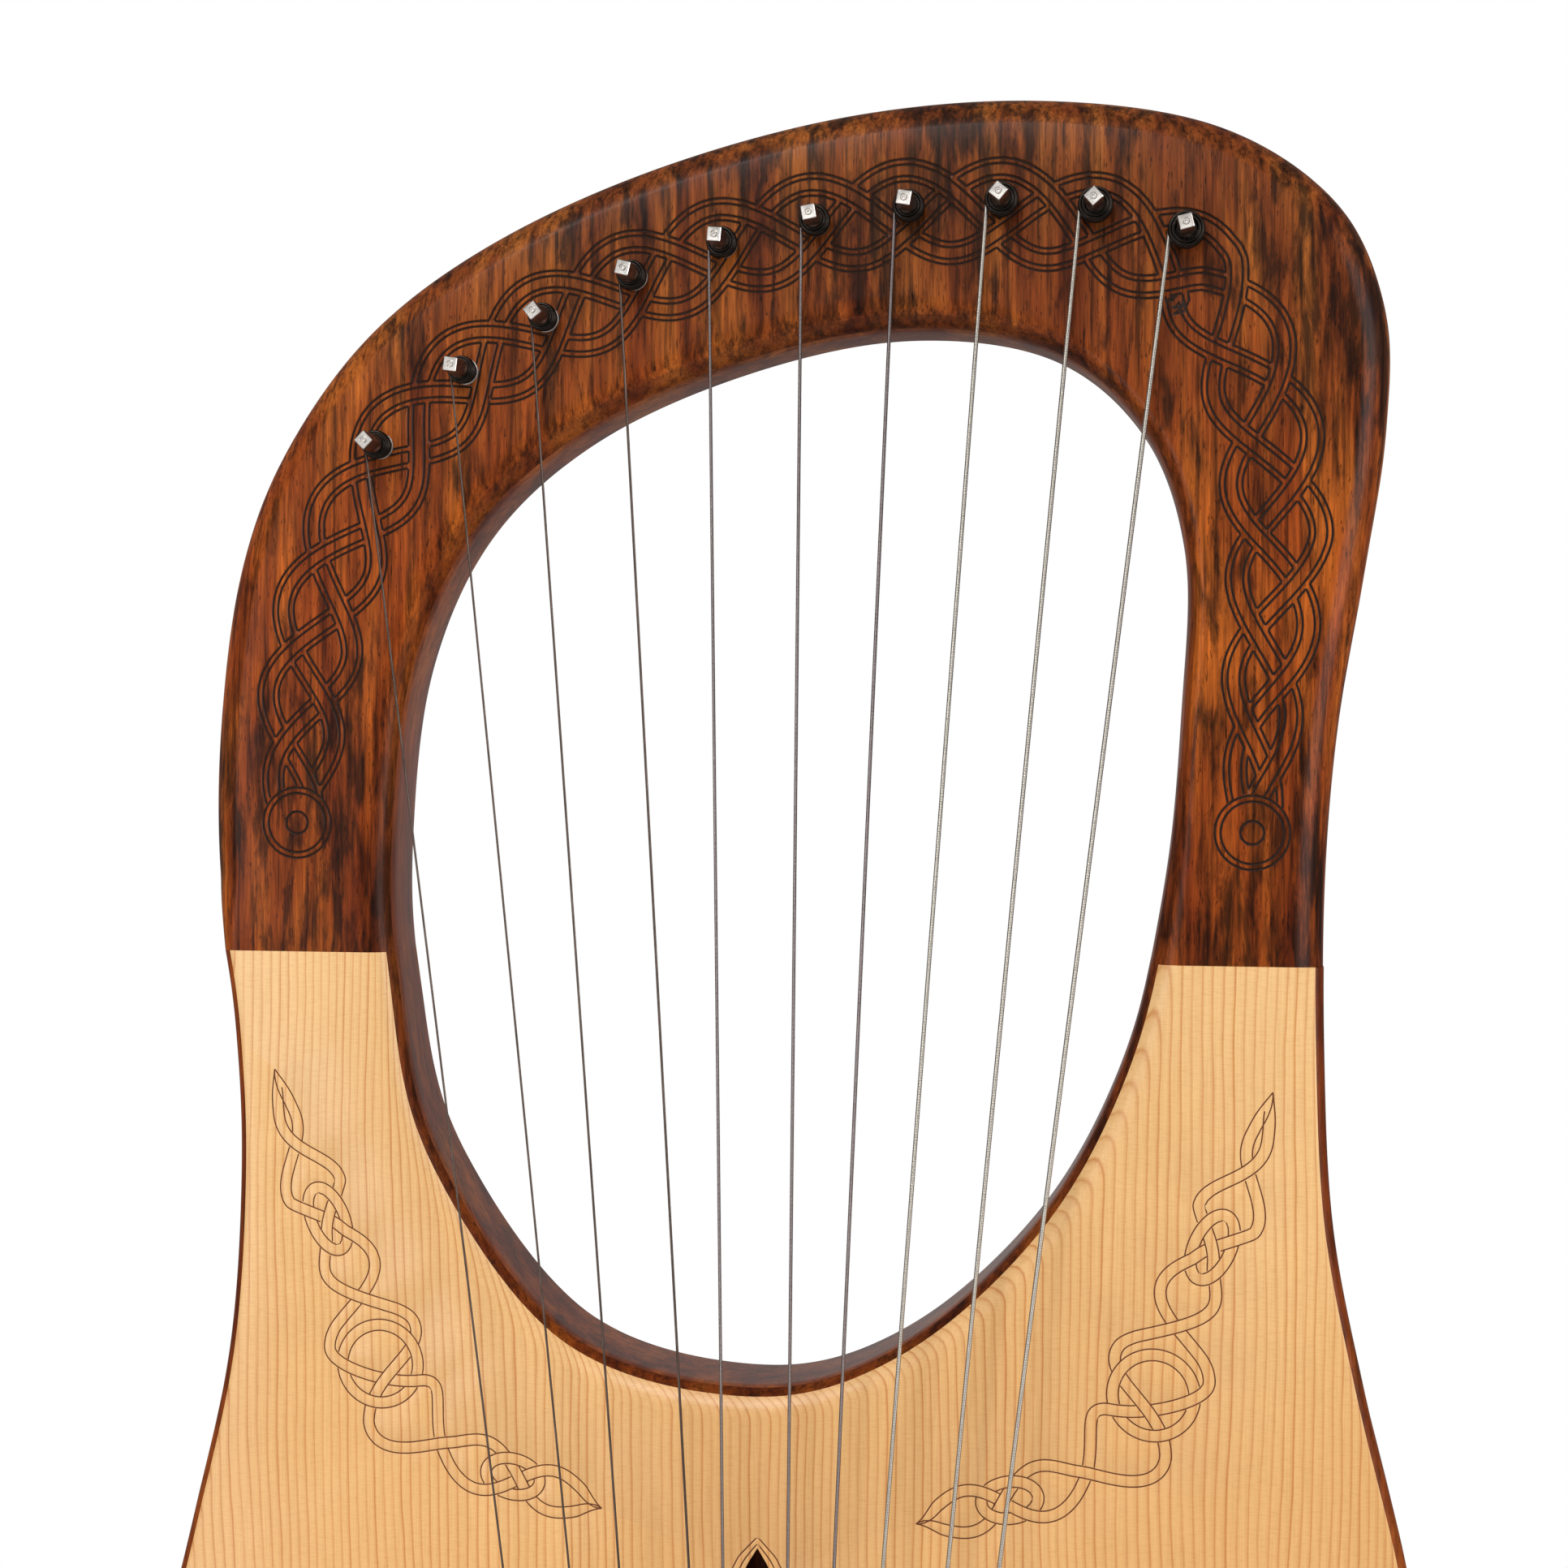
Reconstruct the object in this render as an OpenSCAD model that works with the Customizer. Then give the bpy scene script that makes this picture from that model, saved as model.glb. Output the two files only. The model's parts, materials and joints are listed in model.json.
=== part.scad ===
// Ten-string lyre harp standing on its flat foot.
// X runs to the right along the front face, Y runs from the front face to the back, and Z runs up.
// The sub-parts are drawn with the front face at Y = 0, and place() then moves them forwards so
// that the origin is the middle of the flat foot.

/* [Body] */
// Height of the whole harp
harp_height = 590; // [540:5:640]
// Thickness of the yoke, and of the sound box where the yoke joins it
yoke_t = 25; // [23:0.5:30]
// Depth of the sound box at its foot
foot_depth = 48; // [42:1:60]
// Thickness of the soundboard
board_t = 2.5; // [2:0.1:3.5]
// Thickness of the back
back_t = 3; // [2:0.1:4]
// Thickness of the side ribs and of the collar round the opening
wall_t = 4; // [3:0.5:5]
// Distance that the soundboard stays in from the edges of the ribs and collar
board_inset = 2; // [1:0.5:3]
// Length of the yoke's tenons inside the box
tenon_len = 24; // [16:1:30]

/* [Tuning pins] */
// Diameter of a pin's shaft
pin_d = 5; // [4.5:0.1:6]
// Radial clearance of a pin in its bore
pin_fit = 0.05; // [0.02:0.01:0.1]
// Depth of the blind pin bores
bore_depth = 20; // [16:0.5:21]
// How far the pins stand out of the yoke
pin_out = 15; // [14.5:0.5:20]
// Side of a pin's square head
head_side = 3.7; // [3:0.1:4.2]
// Length of a pin's square head
head_len = 8.5; // [7:0.5:8.5]

/* [Strings] */
// Height of the saddle's top over the front face
saddle_top = 9.5; // [8:0.5:12]
// Gap between a string and the coil on its pin
coil_gap = 0.1; // [0.05:0.05:0.3]
// Length of the string coil along its pin
coil_len = 5.3; // [4:0.1:5.3]
// Spacing of the strings at the tail rail
tail_pitch = 12; // [10:0.5:12.5]

/* [Bridge and tail] */
// Height of the bridge's middle over the foot
bridge_z = 105; // [98:1:110]
// Length of the bridge
bridge_len = 126; // [118:1:136]
// Height of the bridge without its saddle
bridge_h = 7; // [6:0.5:7.5]
// Width of the bridge where it is glued down
bridge_foot = 14; // [10:1:16]
// Width of the saddle
saddle_w = 3; // [2:0.5:4]
// Thickness of the tail rail
rail_t = 7; // [6:0.5:9]

/* [Rose] */
// Distance from the middle of the rose to the tip of a lobe
rose_r = 46; // [38:1:47]
// Width of a lobe
lobe_w = 18; // [12:1:20]
// Length of a lobe's straight-sided pointed arch
lobe_arch = 29; // [24:1:30]

/* [Hidden] */

size = harp_height / 590;        // scale of everything that lies in the plane of the front face
big = 900;                       // longer than anything in the harp
joint_z = 364 * size;            // height of the butt joints between yoke and box
steps = 5;                       // facets per stretch of an outline
pin_r = pin_d / 2;
lining_w = 6;
lining_h = 7;
brace_w = 7;
brace_h = 12;
patch_t = 2;
rail_bottom = 38 * size;
rail_top = 56 * size;
rail_half = 67;
bend_z = bridge_z - saddle_w / 2 - 0.8;  // strings bend down just below the saddle
string_hole_r = 0.9;
string_hole_y = -3.5;
ball_r = 2.2;
ball_len = 3.5;
coil_back = 0.7;                 // from the yoke's face to the coil
coil_front = coil_back + coil_len;
string_out = 2.4;                // how far in front of the yoke a string meets its coil
screw_x = [-61, 0, 61];
screw_r = 1.5;
screw_head_r = 2.8;
screw_head_t = 1.8;
screw_depth = 14;
rose_z = 162.5 * size;
bottom_half = 56;                // the bottom rib's half length, with its joints behind the end block
block_half = 68;

// Key points of the outer outline, from the right end of the flat foot and round by the top.
outer_keys = size * [[74, 0], [124, 13], [158, 50], [174, 100], [175, 152], [168.5, 205], [156.7, 255],
    [148.5, 297], [146, 340], [146, 385], [149, 425], [155.5, 465], [160.6, 500], [160.2, 532], [147.3, 560],
    [117, 580.2], [72, 588], [22, 585.6], [-29, 573.6], [-74, 555], [-108, 531.4], [-132, 500],
    [-145, 467], [-150.8, 425], [-151, 385], [-145.4, 346], [-143.4, 305], [-146.8, 255], [-158, 205],
    [-170.5, 152], [-172, 100], [-158, 50], [-124, 13], [-74, 0]];

// Key points of the opening's outline, from its lowest point and round by the right.
opening_keys = size * [[-3, 250.2], [36.4, 262.4], [72.4, 296], [94.5, 338], [105.2, 385], [109.3, 430],
    [110, 470], [99, 502], [74, 523], [35, 528.5], [-8, 520.2], [-49, 502.6], [-78.6, 476.5], [-95.5, 440],
    [-101, 395], [-99.4, 358], [-89, 311], [-53, 263.2]];

// Pins from the treble side to the bass side.
pin_at = size * [[-103.5, 500], [-80, 519.5], [-58, 533], [-34, 543.5], [-10, 551.5], [14.5, 556.5],
    [39, 559.5], [63, 560.5], [87, 558.5], [110, 551.5]];
head_turn = [45, 8, 52, 14, 5, 80, 10, 40, 48, 76];
string_d = [0.6, 0.6, 0.65, 0.7, 0.85, 0.9, 0.95, 1.1, 1.15, 1.2];
coil_r = [3.1, 3, 3, 3.1, 3.1, 3.1, 3.1, 3.2, 3.3, 3.5];
bridge_x = size * [-53.5, -38, -27.5, -10.5, -6, 9, 17.5, 27, 41.5, 51.5];
count = len(pin_at);

steel = "#b9b7b0";
rosewood = "#8a4a2a";
spruce = "#dfb27a";

// One point of a smooth stretch from b to c, with a and d its neighbours.
function blend(a, b, c, d, t) = 0.5 * (2 * b + (c - a) * t + (2 * a - 5 * b + 4 * c - d) * t * t
    + (3 * b - a - 3 * c + d) * t * t * t);

// Smooth closed outline through key points, cut flat at the foot.
function smooth(keys) = let (n = len(keys))
    [for (i = [0 : n - 1], j = [0 : steps - 1])
        let (p = blend(keys[(i + n - 1) % n], keys[i], keys[(i + 1) % n], keys[(i + 2) % n], j / steps))
        [p[0], max(p[1], 0)]];

// Outline moved to its left-hand side, which is inwards on an outline that runs anticlockwise.
function inset(points, d) = let (n = len(points))
    [for (i = [0 : n - 1])
        let (along = points[(i + 1) % n] - points[(i + n - 1) % n], run = norm(along))
        points[i] + [-along[1], along[0]] * d / run];

outer = smooth(outer_keys);
opening = smooth(opening_keys);

// Depth of the back face at a height: level behind the yoke, then sloping out to the foot.
function back_y(z) = z >= joint_z ? yoke_t : foot_depth + (yoke_t - foot_depth) * z / joint_z;

// A string bends at its bridge point and ends above, beside the coil, where it would join it.
function string_y(i) = -saddle_top - string_d[i] / 2;
function bridge_point(i) = [bridge_x[i], string_y(i), bend_z];
function string_top(i) = let (
        from = [bridge_x[i], bend_z],
        to_pin = pin_at[i] - from,
        reach = norm(to_pin),
        off = coil_r[i] + string_d[i] / 2 + coil_gap,
        turn = atan2(to_pin[1], to_pin[0]) + asin(off / reach),
        run = sqrt(reach * reach - off * off))
    [from[0] + run * cos(turn), -string_out, from[1] + run * sin(turn)];
function tail_x(i) = tail_pitch * (i - (count - 1) / 2);

module place() {
    translate([0, -foot_depth / 2, 0]) children();
}

// Extrudes a drawing in X and Z from depth y0 to depth y1.
module slab(y0, y1) {
    translate([0, y1, 0]) rotate([90, 0, 0]) linear_extrude(y1 - y0) children();
}

// Everything between a front plane and the back face moved forwards by off, below the joints.
module box_depth(front, off) {
    rotate([90, 0, 90]) translate([0, 0, -big / 2]) linear_extrude(big)
        polygon([[front, 0], [back_y(0) - off, 0], [yoke_t - off, joint_z], [front, joint_z]]);
}

// The same, as a layer of thickness t whose back is off in front of the back face.
module back_layer(off, t) {
    rotate([90, 0, 90]) translate([0, 0, -big / 2]) linear_extrude(big)
        polygon([[back_y(0) - off - t, 0], [back_y(0) - off, 0], [yoke_t - off, joint_z],
            [yoke_t - off - t, joint_z]]);
}

module below_joint() {
    translate([-big / 2, 0]) square([big, joint_z]);
}

module ring(points, from, to) {
    difference() {
        polygon(inset(points, from));
        polygon(inset(points, to));
    }
}

// Rectangle given by its middle in X, its lowest Z, and its size.
module bar(x_mid, z_low, w, h) {
    translate([x_mid - w / 2, z_low]) square([w, h]);
}

// Cylinder between two points, shorter by cut_a and cut_b at its ends.
module rod(a, b, d, cut_a, cut_b) {
    v = b - a;
    translate(a) rotate([0, acos(v[2] / norm(v)), atan2(v[1], v[0])])
        translate([0, 0, cut_a]) cylinder(h = norm(v) - cut_a - cut_b, d = d, $fn = 24);
}

// Cylinder along Y from depth y0 to depth y1.
module along_y(x, z, y0, y1, r) {
    translate([x, y1, z]) rotate([90, 0, 0]) cylinder(h = y1 - y0, r = r, $fn = 48);
}

module yoke() {
    color(rosewood) place() difference() {
        union() {
            slab(0, yoke_t) difference() {
                polygon(outer);
                polygon(opening);
                below_joint();
            }
            slab(board_t, yoke_t - back_t - 0.8) {
                bar(-122 * size, joint_z - tenon_len, 34 * size, tenon_len + 1);
                bar(124 * size, joint_z - tenon_len, 33 * size, tenon_len + 1);
            }
        }
        for (p = pin_at) along_y(p[0], p[1], -1, bore_depth, pin_r + pin_fit);
    }
}

// Stretch of the outer wall of the box between two values of X.
module rib(x0, x1) {
    color(rosewood) place() intersection() {
        slab(0, big) intersection() {
            ring(outer, 0, wall_t);
            below_joint();
            translate([x0, -1]) square([x1 - x0, big]);
        }
        box_depth(board_t, back_t);
    }
}

module opening_collar() {
    color(rosewood) place() intersection() {
        slab(0, big) intersection() {
            ring(opening, -wall_t, 0);
            below_joint();
        }
        box_depth(board_t, back_t);
    }
}

module back_plate() {
    color(rosewood) place() intersection() {
        slab(0, big) difference() {
            polygon(outer);
            polygon(opening);
        }
        back_layer(0, back_t);
    }
}

// Three pointed lobes round the middle of the rose.
module rose() {
    arch_r = (lobe_arch * lobe_arch + lobe_w * lobe_w / 4) / lobe_w;
    for (a = [0, 120, 240]) translate([0, rose_z]) rotate(a) translate([0, rose_r - lobe_arch]) {
        intersection() {
            translate([lobe_w / 2 - arch_r, 0]) circle(arch_r, $fn = 64);
            translate([arch_r - lobe_w / 2, 0]) circle(arch_r, $fn = 64);
            translate([-lobe_w, -0.01]) square([2 * lobe_w, 2 * lobe_arch]);
        }
        circle(lobe_w / 2 - 0.02, $fn = 48);
    }
}

module soundboard() {
    color(spruce) place() difference() {
        slab(0, board_t) difference() {
            polygon(inset(outer, board_inset));
            polygon(inset(opening, -board_inset));
            translate([-big / 2, joint_z]) square([big, big]);
            rose();
        }
        for (x = screw_x) along_y(x, (rail_top + rail_bottom) / 2, -1, board_t + 1, screw_r);
    }
}

module end_block() {
    color(spruce) place() difference() {
        intersection() {
            slab(0, big) bar(0, wall_t, 2 * block_half, rail_top + 2 - wall_t);
            box_depth(board_t, back_t);
        }
        for (x = screw_x) along_y(x, (rail_top + rail_bottom) / 2, 0, screw_depth, screw_r);
    }
}

module board_brace(x_mid, z, len) {
    color(spruce) place() slab(board_t, board_t + brace_h) bar(x_mid, z - brace_w / 2, len, brace_w);
}

module back_brace(z, len) {
    color(spruce) place() intersection() {
        slab(0, big) bar(0, z - brace_w / 2, len, brace_w);
        back_layer(back_t, brace_h);
    }
}

module bridge_patch() {
    color(rosewood) place() slab(board_t, board_t + patch_t) bar(0, bridge_z - 13, bridge_len + 14, 26);
}

// Strips glued into the corners along the ribs and round the collar.
module lining_bands() {
    difference() {
        union() {
            ring(outer, wall_t, wall_t + lining_w);
            ring(opening, -wall_t - lining_w, -wall_t);
        }
        bar(0, 0, 2 * block_half, rail_top + 2);
        translate([-big / 2, joint_z - tenon_len]) square([big, big]);
    }
}

module front_linings() {
    color(spruce) place() slab(board_t, board_t + lining_h) lining_bands();
}

module back_linings() {
    color(spruce) place() intersection() {
        slab(0, big) lining_bands();
        back_layer(back_t, lining_w);
    }
}

module bridge() {
    top_w = saddle_w + 3;
    color(rosewood) place() difference() {
        rotate([90, 0, 90]) translate([0, 0, -bridge_len / 2]) linear_extrude(bridge_len)
            polygon([[0, bridge_z - bridge_foot / 2], [0, bridge_z + bridge_foot / 2],
                [-bridge_h, bridge_z + top_w / 2], [-bridge_h, bridge_z - top_w / 2]]);
        slab(-bridge_h - 1, -bridge_h / 2) bar(0, bridge_z - saddle_w / 2, bridge_len - 6, saddle_w);
    }
}

module saddle() {
    color("#efe6cf") place() slab(-saddle_top, -bridge_h / 2)
        bar(0, bridge_z - saddle_w / 2, bridge_len - 6, saddle_w);
}

module tail_rail() {
    mid_z = (rail_top + rail_bottom) / 2;
    color(rosewood) place() difference() {
        slab(-rail_t, 0) bar(0, rail_bottom, 2 * rail_half, rail_top - rail_bottom);
        for (i = [0 : count - 1]) translate([tail_x(i), string_hole_y, rail_bottom - 1])
            cylinder(h = rail_top - rail_bottom + 2, r = string_hole_r, $fn = 24);
        for (x = screw_x) {
            along_y(x, mid_z, -rail_t - 1, 1, screw_r);
            along_y(x, mid_z, -rail_t - 1, -rail_t + screw_head_t, screw_head_r);
        }
    }
}

module rail_screws() {
    mid_z = (rail_top + rail_bottom) / 2;
    color("gold") place() for (x = screw_x) {
        along_y(x, mid_z, -rail_t + screw_head_t - 0.5, screw_depth, screw_r);
        along_y(x, mid_z, -rail_t, -rail_t + screw_head_t, screw_head_r);
    }
}

module string_ball_ends() {
    color("gold") place() for (i = [0 : count - 1])
        translate([tail_x(i), string_hole_y, rail_bottom - ball_len])
            cylinder(h = ball_len, r = ball_r, $fn = 32);
}

module tuning_pin(i) {
    color(steel) place() translate([pin_at[i][0], 0, pin_at[i][1]]) {
        along_y(0, 0, head_len - pin_out - 0.5, bore_depth - 1, pin_r);
        translate([0, head_len - pin_out, 0]) rotate([90, head_turn[i], 0])
            linear_extrude(head_len) square(head_side, center = true);
    }
}

module string_coil(i) {
    color(i < 4 ? "#4a4038" : "#35302c") place() translate([pin_at[i][0], 0, pin_at[i][1]]) difference() {
        along_y(0, 0, -coil_front, -coil_back, coil_r[i]);
        along_y(0, 0, -coil_front - 1, 1 - coil_back, pin_r);
    }
}

// Straight stretches from the coil to the bridge, to the rail and through it, with a bead at each bend.
module string(i) {
    d = string_d[i];
    cut = 0.15 * d;
    tail = [tail_x(i), string_hole_y, rail_top];
    color(i < 4 ? "#6b5f52" : "#c9c2b2") place() {
        rod(bridge_point(i), string_top(i), d, cut, 0);
        rod(tail, bridge_point(i), d, cut, cut);
        rod([tail[0], tail[1], rail_bottom], tail, d, 0, cut);
        for (bend = [bridge_point(i), tail]) translate(bend) sphere(d = 1.15 * d, $fn = 24);
    }
}

yoke();
rib(-big, -bottom_half);  // left_side_rib
rib(bottom_half, big);  // right_side_rib
rib(-bottom_half, bottom_half);  // bottom_rib
opening_collar();
back_plate();
soundboard();
end_block();
board_brace(3, 228 * size, 276);  // upper_brace
board_brace(1, 128 * size, 316);  // lower_brace
back_brace(215 * size, 290);  // back_brace_upper
back_brace(100 * size, 316);  // back_brace_lower
bridge_patch();
front_linings();
back_linings();
bridge();
saddle();
tail_rail();
rail_screws();
string_ball_ends();
tuning_pin(0);  // tuning_pin_01
tuning_pin(1);  // tuning_pin_02
tuning_pin(2);  // tuning_pin_03
tuning_pin(3);  // tuning_pin_04
tuning_pin(4);  // tuning_pin_05
tuning_pin(5);  // tuning_pin_06
tuning_pin(6);  // tuning_pin_07
tuning_pin(7);  // tuning_pin_08
tuning_pin(8);  // tuning_pin_09
tuning_pin(9);  // tuning_pin_10
string_coil(0);  // string_coil_01
string_coil(1);  // string_coil_02
string_coil(2);  // string_coil_03
string_coil(3);  // string_coil_04
string_coil(4);  // string_coil_05
string_coil(5);  // string_coil_06
string_coil(6);  // string_coil_07
string_coil(7);  // string_coil_08
string_coil(8);  // string_coil_09
string_coil(9);  // string_coil_10
string(0);  // string_01
string(1);  // string_02
string(2);  // string_03
string(3);  // string_04
string(4);  // string_05
string(5);  // string_06
string(6);  // string_07
string(7);  // string_08
string(8);  // string_09
string(9);  // string_10
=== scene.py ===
"""Ten-string lyre harp: the looks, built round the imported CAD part.

Outlines and places come from the CAD nodes. Drawing units are millimetres in the row frame: X right, Z up,
front face towards -Y. Meshes are turned into metres when they are made.
"""
import json
import math

import bmesh
import bpy
import numpy as np
from mathutils import Matrix, Vector, geometry

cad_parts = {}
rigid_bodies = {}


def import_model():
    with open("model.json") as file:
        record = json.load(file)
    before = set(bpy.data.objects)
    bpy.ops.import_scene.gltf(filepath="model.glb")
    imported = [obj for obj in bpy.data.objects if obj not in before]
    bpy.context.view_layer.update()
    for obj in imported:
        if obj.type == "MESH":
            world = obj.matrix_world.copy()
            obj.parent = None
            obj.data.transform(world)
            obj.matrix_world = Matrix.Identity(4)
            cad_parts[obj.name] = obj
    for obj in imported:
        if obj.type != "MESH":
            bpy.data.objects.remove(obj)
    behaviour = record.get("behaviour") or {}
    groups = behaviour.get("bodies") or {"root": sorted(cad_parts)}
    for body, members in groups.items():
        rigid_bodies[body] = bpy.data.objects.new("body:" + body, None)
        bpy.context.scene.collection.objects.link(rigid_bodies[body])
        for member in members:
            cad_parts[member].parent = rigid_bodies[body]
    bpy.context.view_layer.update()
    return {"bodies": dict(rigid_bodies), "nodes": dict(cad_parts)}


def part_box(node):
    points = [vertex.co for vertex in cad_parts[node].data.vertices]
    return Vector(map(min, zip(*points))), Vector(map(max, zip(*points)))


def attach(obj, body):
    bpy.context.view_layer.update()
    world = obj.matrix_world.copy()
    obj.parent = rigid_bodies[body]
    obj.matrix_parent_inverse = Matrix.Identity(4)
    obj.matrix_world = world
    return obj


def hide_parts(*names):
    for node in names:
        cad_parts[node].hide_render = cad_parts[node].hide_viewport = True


MM = 0.001
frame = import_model()
NODES = frame["nodes"]

# Roundings: how far one reaches in from the outline, its depth, and its angle in degrees at the flat face
OUTER_EDGE = (7.4, 8.0, 26)
OPENING_EDGE = (8.6, 7.6, 0)
BOX_EDGE = (3.6, 3.4, 8)
RIGHT_ARM_SLIMMER = 3.3             # how much less the opening's rounding reaches in along the right arm
CREST = (0.35, 0.07)                # reach and depth of the small bevel along the crease
BACK_ROUND = 3.0
WALL_SLOPE, EDGE_SLOPE = 0.35, 0.92  # forward share of a normal on the opening's wall and on its rounding
BOARD_INSET, COLLAR_INSET = 2.2, 2.3  # where the soundboard ends, inside the outline and the opening
BACK_T, WALL_T = 3.0, 4.0
ROUND_STEPS, SUBDIVIDE = 8, 4

# Engraved and burned lines: half width, half width of the dark floor, and depth
YOKE_GROOVE = (0.48, 0.30, 0.45)
BURNED_LINE = (0.18, 0.18, 0.10)
STRAND_OUTER, STRAND_INNER, RIBBON = 2.9, 1.5, 1.5   # from a band's middle to its lines

PLAIT_SWING = 11.0                  # how far the plait's strands swing to each side
RING_ABOVE = 34                     # from the joint up to the middle of the ring on each arm
RING_RADII = (9.5, 8.0, 3.0)
# The pale rings round the pins stand in for a painted highlight on the shafts; the engraved lines stop under them.
CLEAR_ROUND_PIN = 3.4                 # where engraved lines stop round a pin

RING_PITCH = 2.5                    # from one year ring of the soundboard to the next
STRING_D = [0.6, 0.6, 0.65, 0.7, 0.85, 0.9, 0.95, 1.1, 1.15, 1.2]
STRING_OUT = 2.4                    # from the yoke to a string where it leaves its coil
PIN_R = 2.5
AROUND = 0.31                       # light from all round, where the backdrop is 1


# ---- small tools

def new_object(name, shape, materials, slots=None, smooth=True, sharp=30):
    """Object from millimetre vertices and faces, welded and with its normals outwards."""
    mesh = bpy.data.meshes.new(name)
    mesh.from_pydata([tuple(c * MM for c in v) for v in shape[0]], [], [tuple(f) for f in shape[1]])
    for material in materials:
        mesh.materials.append(material)
    if slots is not None:
        mesh.polygons.foreach_set("material_index", np.asarray(slots, dtype=np.int32))
    bm = bmesh.new()
    bm.from_mesh(mesh)
    bmesh.ops.remove_doubles(bm, verts=bm.verts, dist=2e-6)
    bmesh.ops.dissolve_degenerate(bm, edges=bm.edges, dist=1e-7)
    bmesh.ops.recalc_face_normals(bm, faces=bm.faces)
    bm.to_mesh(mesh)
    bm.free()
    mesh.polygons.foreach_set("use_smooth", [smooth] * len(mesh.polygons))
    if smooth:
        mesh.set_sharp_from_angle(angle=math.radians(sharp))
    return placed(name, mesh)


def placed(name, data):
    obj = bpy.data.objects.new(name, data)
    bpy.context.scene.collection.objects.link(obj)
    return obj


def piece(name, shape, materials, body, slot, *nodes, **options):
    """Object that rides on its body and stands for CAD nodes; its slot is not used."""
    obj = new_object(name, shape, materials, **options)
    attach(obj, body)
    if nodes:
        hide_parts(*nodes)
    return obj


def node_box(name):
    low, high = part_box(name)
    return np.array(low) / MM, np.array(high) / MM


def node_points(name):
    return np.array([v.co for v in NODES[name].data.vertices]) / MM


# ---- outlines from the CAD

def face_loops(node, facing):
    """Boundary loops in X and Z of the faces of a node that look along facing, longest first."""
    mesh = NODES[node].data
    points, index, key_of = [], {}, {}
    for i, v in enumerate(mesh.vertices):
        key = tuple(round(c * 1e5) for c in v.co)
        if key not in index:
            index[key] = len(points)
            points.append((v.co.x / MM, v.co.z / MM))
        key_of[i] = index[key]
    directed = set()
    for polygon in mesh.polygons:
        if polygon.normal.dot(facing) > 0.9:
            ring = [key_of[i] for i in polygon.vertices]
            directed.update(zip(ring, ring[1:] + ring[:1]))
    following = {a: b for a, b in directed if (b, a) not in directed}
    loops = []
    while following:
        start, loop = next(iter(following)), []
        here = start
        while here in following:
            loop.append(points[here])
            here = following.pop(here)
        loops.append(np.array(loop))
    return sorted(loops, key=lambda loop: -np.ptp(loop[:, 1]) * np.ptp(loop[:, 0]))


def arcs_at_joint(loop, joint_z):
    """Splits a plate's outline at its four joint corners into its outer arc and its opening arc."""
    corners = [i for i in range(len(loop)) if abs(loop[i][1] - joint_z) < 0.01]
    arcs = []
    for a, b in zip(corners, corners[1:] + [corners[0] + len(loop)]):
        if b - a > 2:
            arcs.append(np.array([loop[i % len(loop)] for i in range(a, b + 1)]))
    arcs.sort(key=lambda arc: -np.ptp(arc[:, 0]))
    return arcs[:2]


def left_to_right(arc):
    return arc if arc[0][0] < arc[-1][0] else arc[::-1]


def left_normals(path, closed=False):
    """Unit normals to the left of a path."""
    along = np.roll(path, -1, axis=0) - np.roll(path, 1, axis=0) if closed else np.gradient(path, axis=0)
    along /= np.linalg.norm(along, axis=1)[:, None] + 1e-12
    return np.stack([-along[:, 1], along[:, 0]], axis=1)


def spline(points, per_stretch, closed):
    """Catmull-Rom curve through points, with chord lengths as its parameter."""
    points = np.asarray(points, float)
    n = len(points)
    stretches = n if closed else n - 1
    result = []
    for i in range(stretches):
        if closed:
            p0, p1, p2, p3 = (points[(i + k) % n] for k in (-1, 0, 1, 2))
        else:
            p1, p2 = points[i], points[i + 1]
            p0 = points[i - 1] if i > 0 else 2 * p1 - p2
            p3 = points[i + 2] if i + 2 < n else 2 * p2 - p1
        d0, d1, d2 = (max(np.linalg.norm(b - a), 1e-6) ** 0.5 for a, b in ((p0, p1), (p1, p2), (p2, p3)))
        m1 = (p2 - p1) + d1 * ((p1 - p0) / d0 - (p2 - p0) / (d0 + d1))
        m2 = (p2 - p1) + d1 * ((p3 - p2) / d2 - (p3 - p1) / (d1 + d2))
        for k in range(per_stretch):
            t = k / per_stretch
            result.append((2 * t ** 3 - 3 * t ** 2 + 1) * p1 + (t ** 3 - 2 * t ** 2 + t) * m1
                          + (3 * t ** 2 - 2 * t ** 3) * p2 + (t ** 3 - t ** 2) * m2)
    if not closed:
        result.append(points[-1])
    return np.array(result)


def closed_outline(upper, lower):
    """Smooth closed loop from an upper arc and a lower arc, anticlockwise, with its inward normals."""
    loop = np.vstack([left_to_right(lower), left_to_right(upper)[::-1][1:-1]])
    loop = spline(loop, SUBDIVIDE, closed=True)
    loop[:, 1] = np.maximum(loop[:, 1], 0)
    return loop, left_normals(loop, closed=True)


yoke_low, yoke_high = node_box("yoke")
FRONT_Y = yoke_low[1]
YOKE_BACK = FRONT_Y + (yoke_high[1] - yoke_low[1])
BOARD_T = np.ptp(np.array(node_box("soundboard"))[:, 1])
FOOT_Y = node_box("back_plate")[1][1]
back_loop = face_loops("back_plate", Vector((0, 1, 0)))[0]
JOINT_Z = back_loop[:, 1].max()
yoke_arcs = arcs_at_joint(face_loops("yoke", Vector((0, -1, 0)))[0], JOINT_Z)
box_arcs = arcs_at_joint(back_loop, JOINT_Z)
OUTER, OUTER_IN = closed_outline(yoke_arcs[0], box_arcs[0])
OPENING, opening_left = closed_outline(yoke_arcs[1], box_arcs[1])
OPENING_OUT = -opening_left


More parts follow.
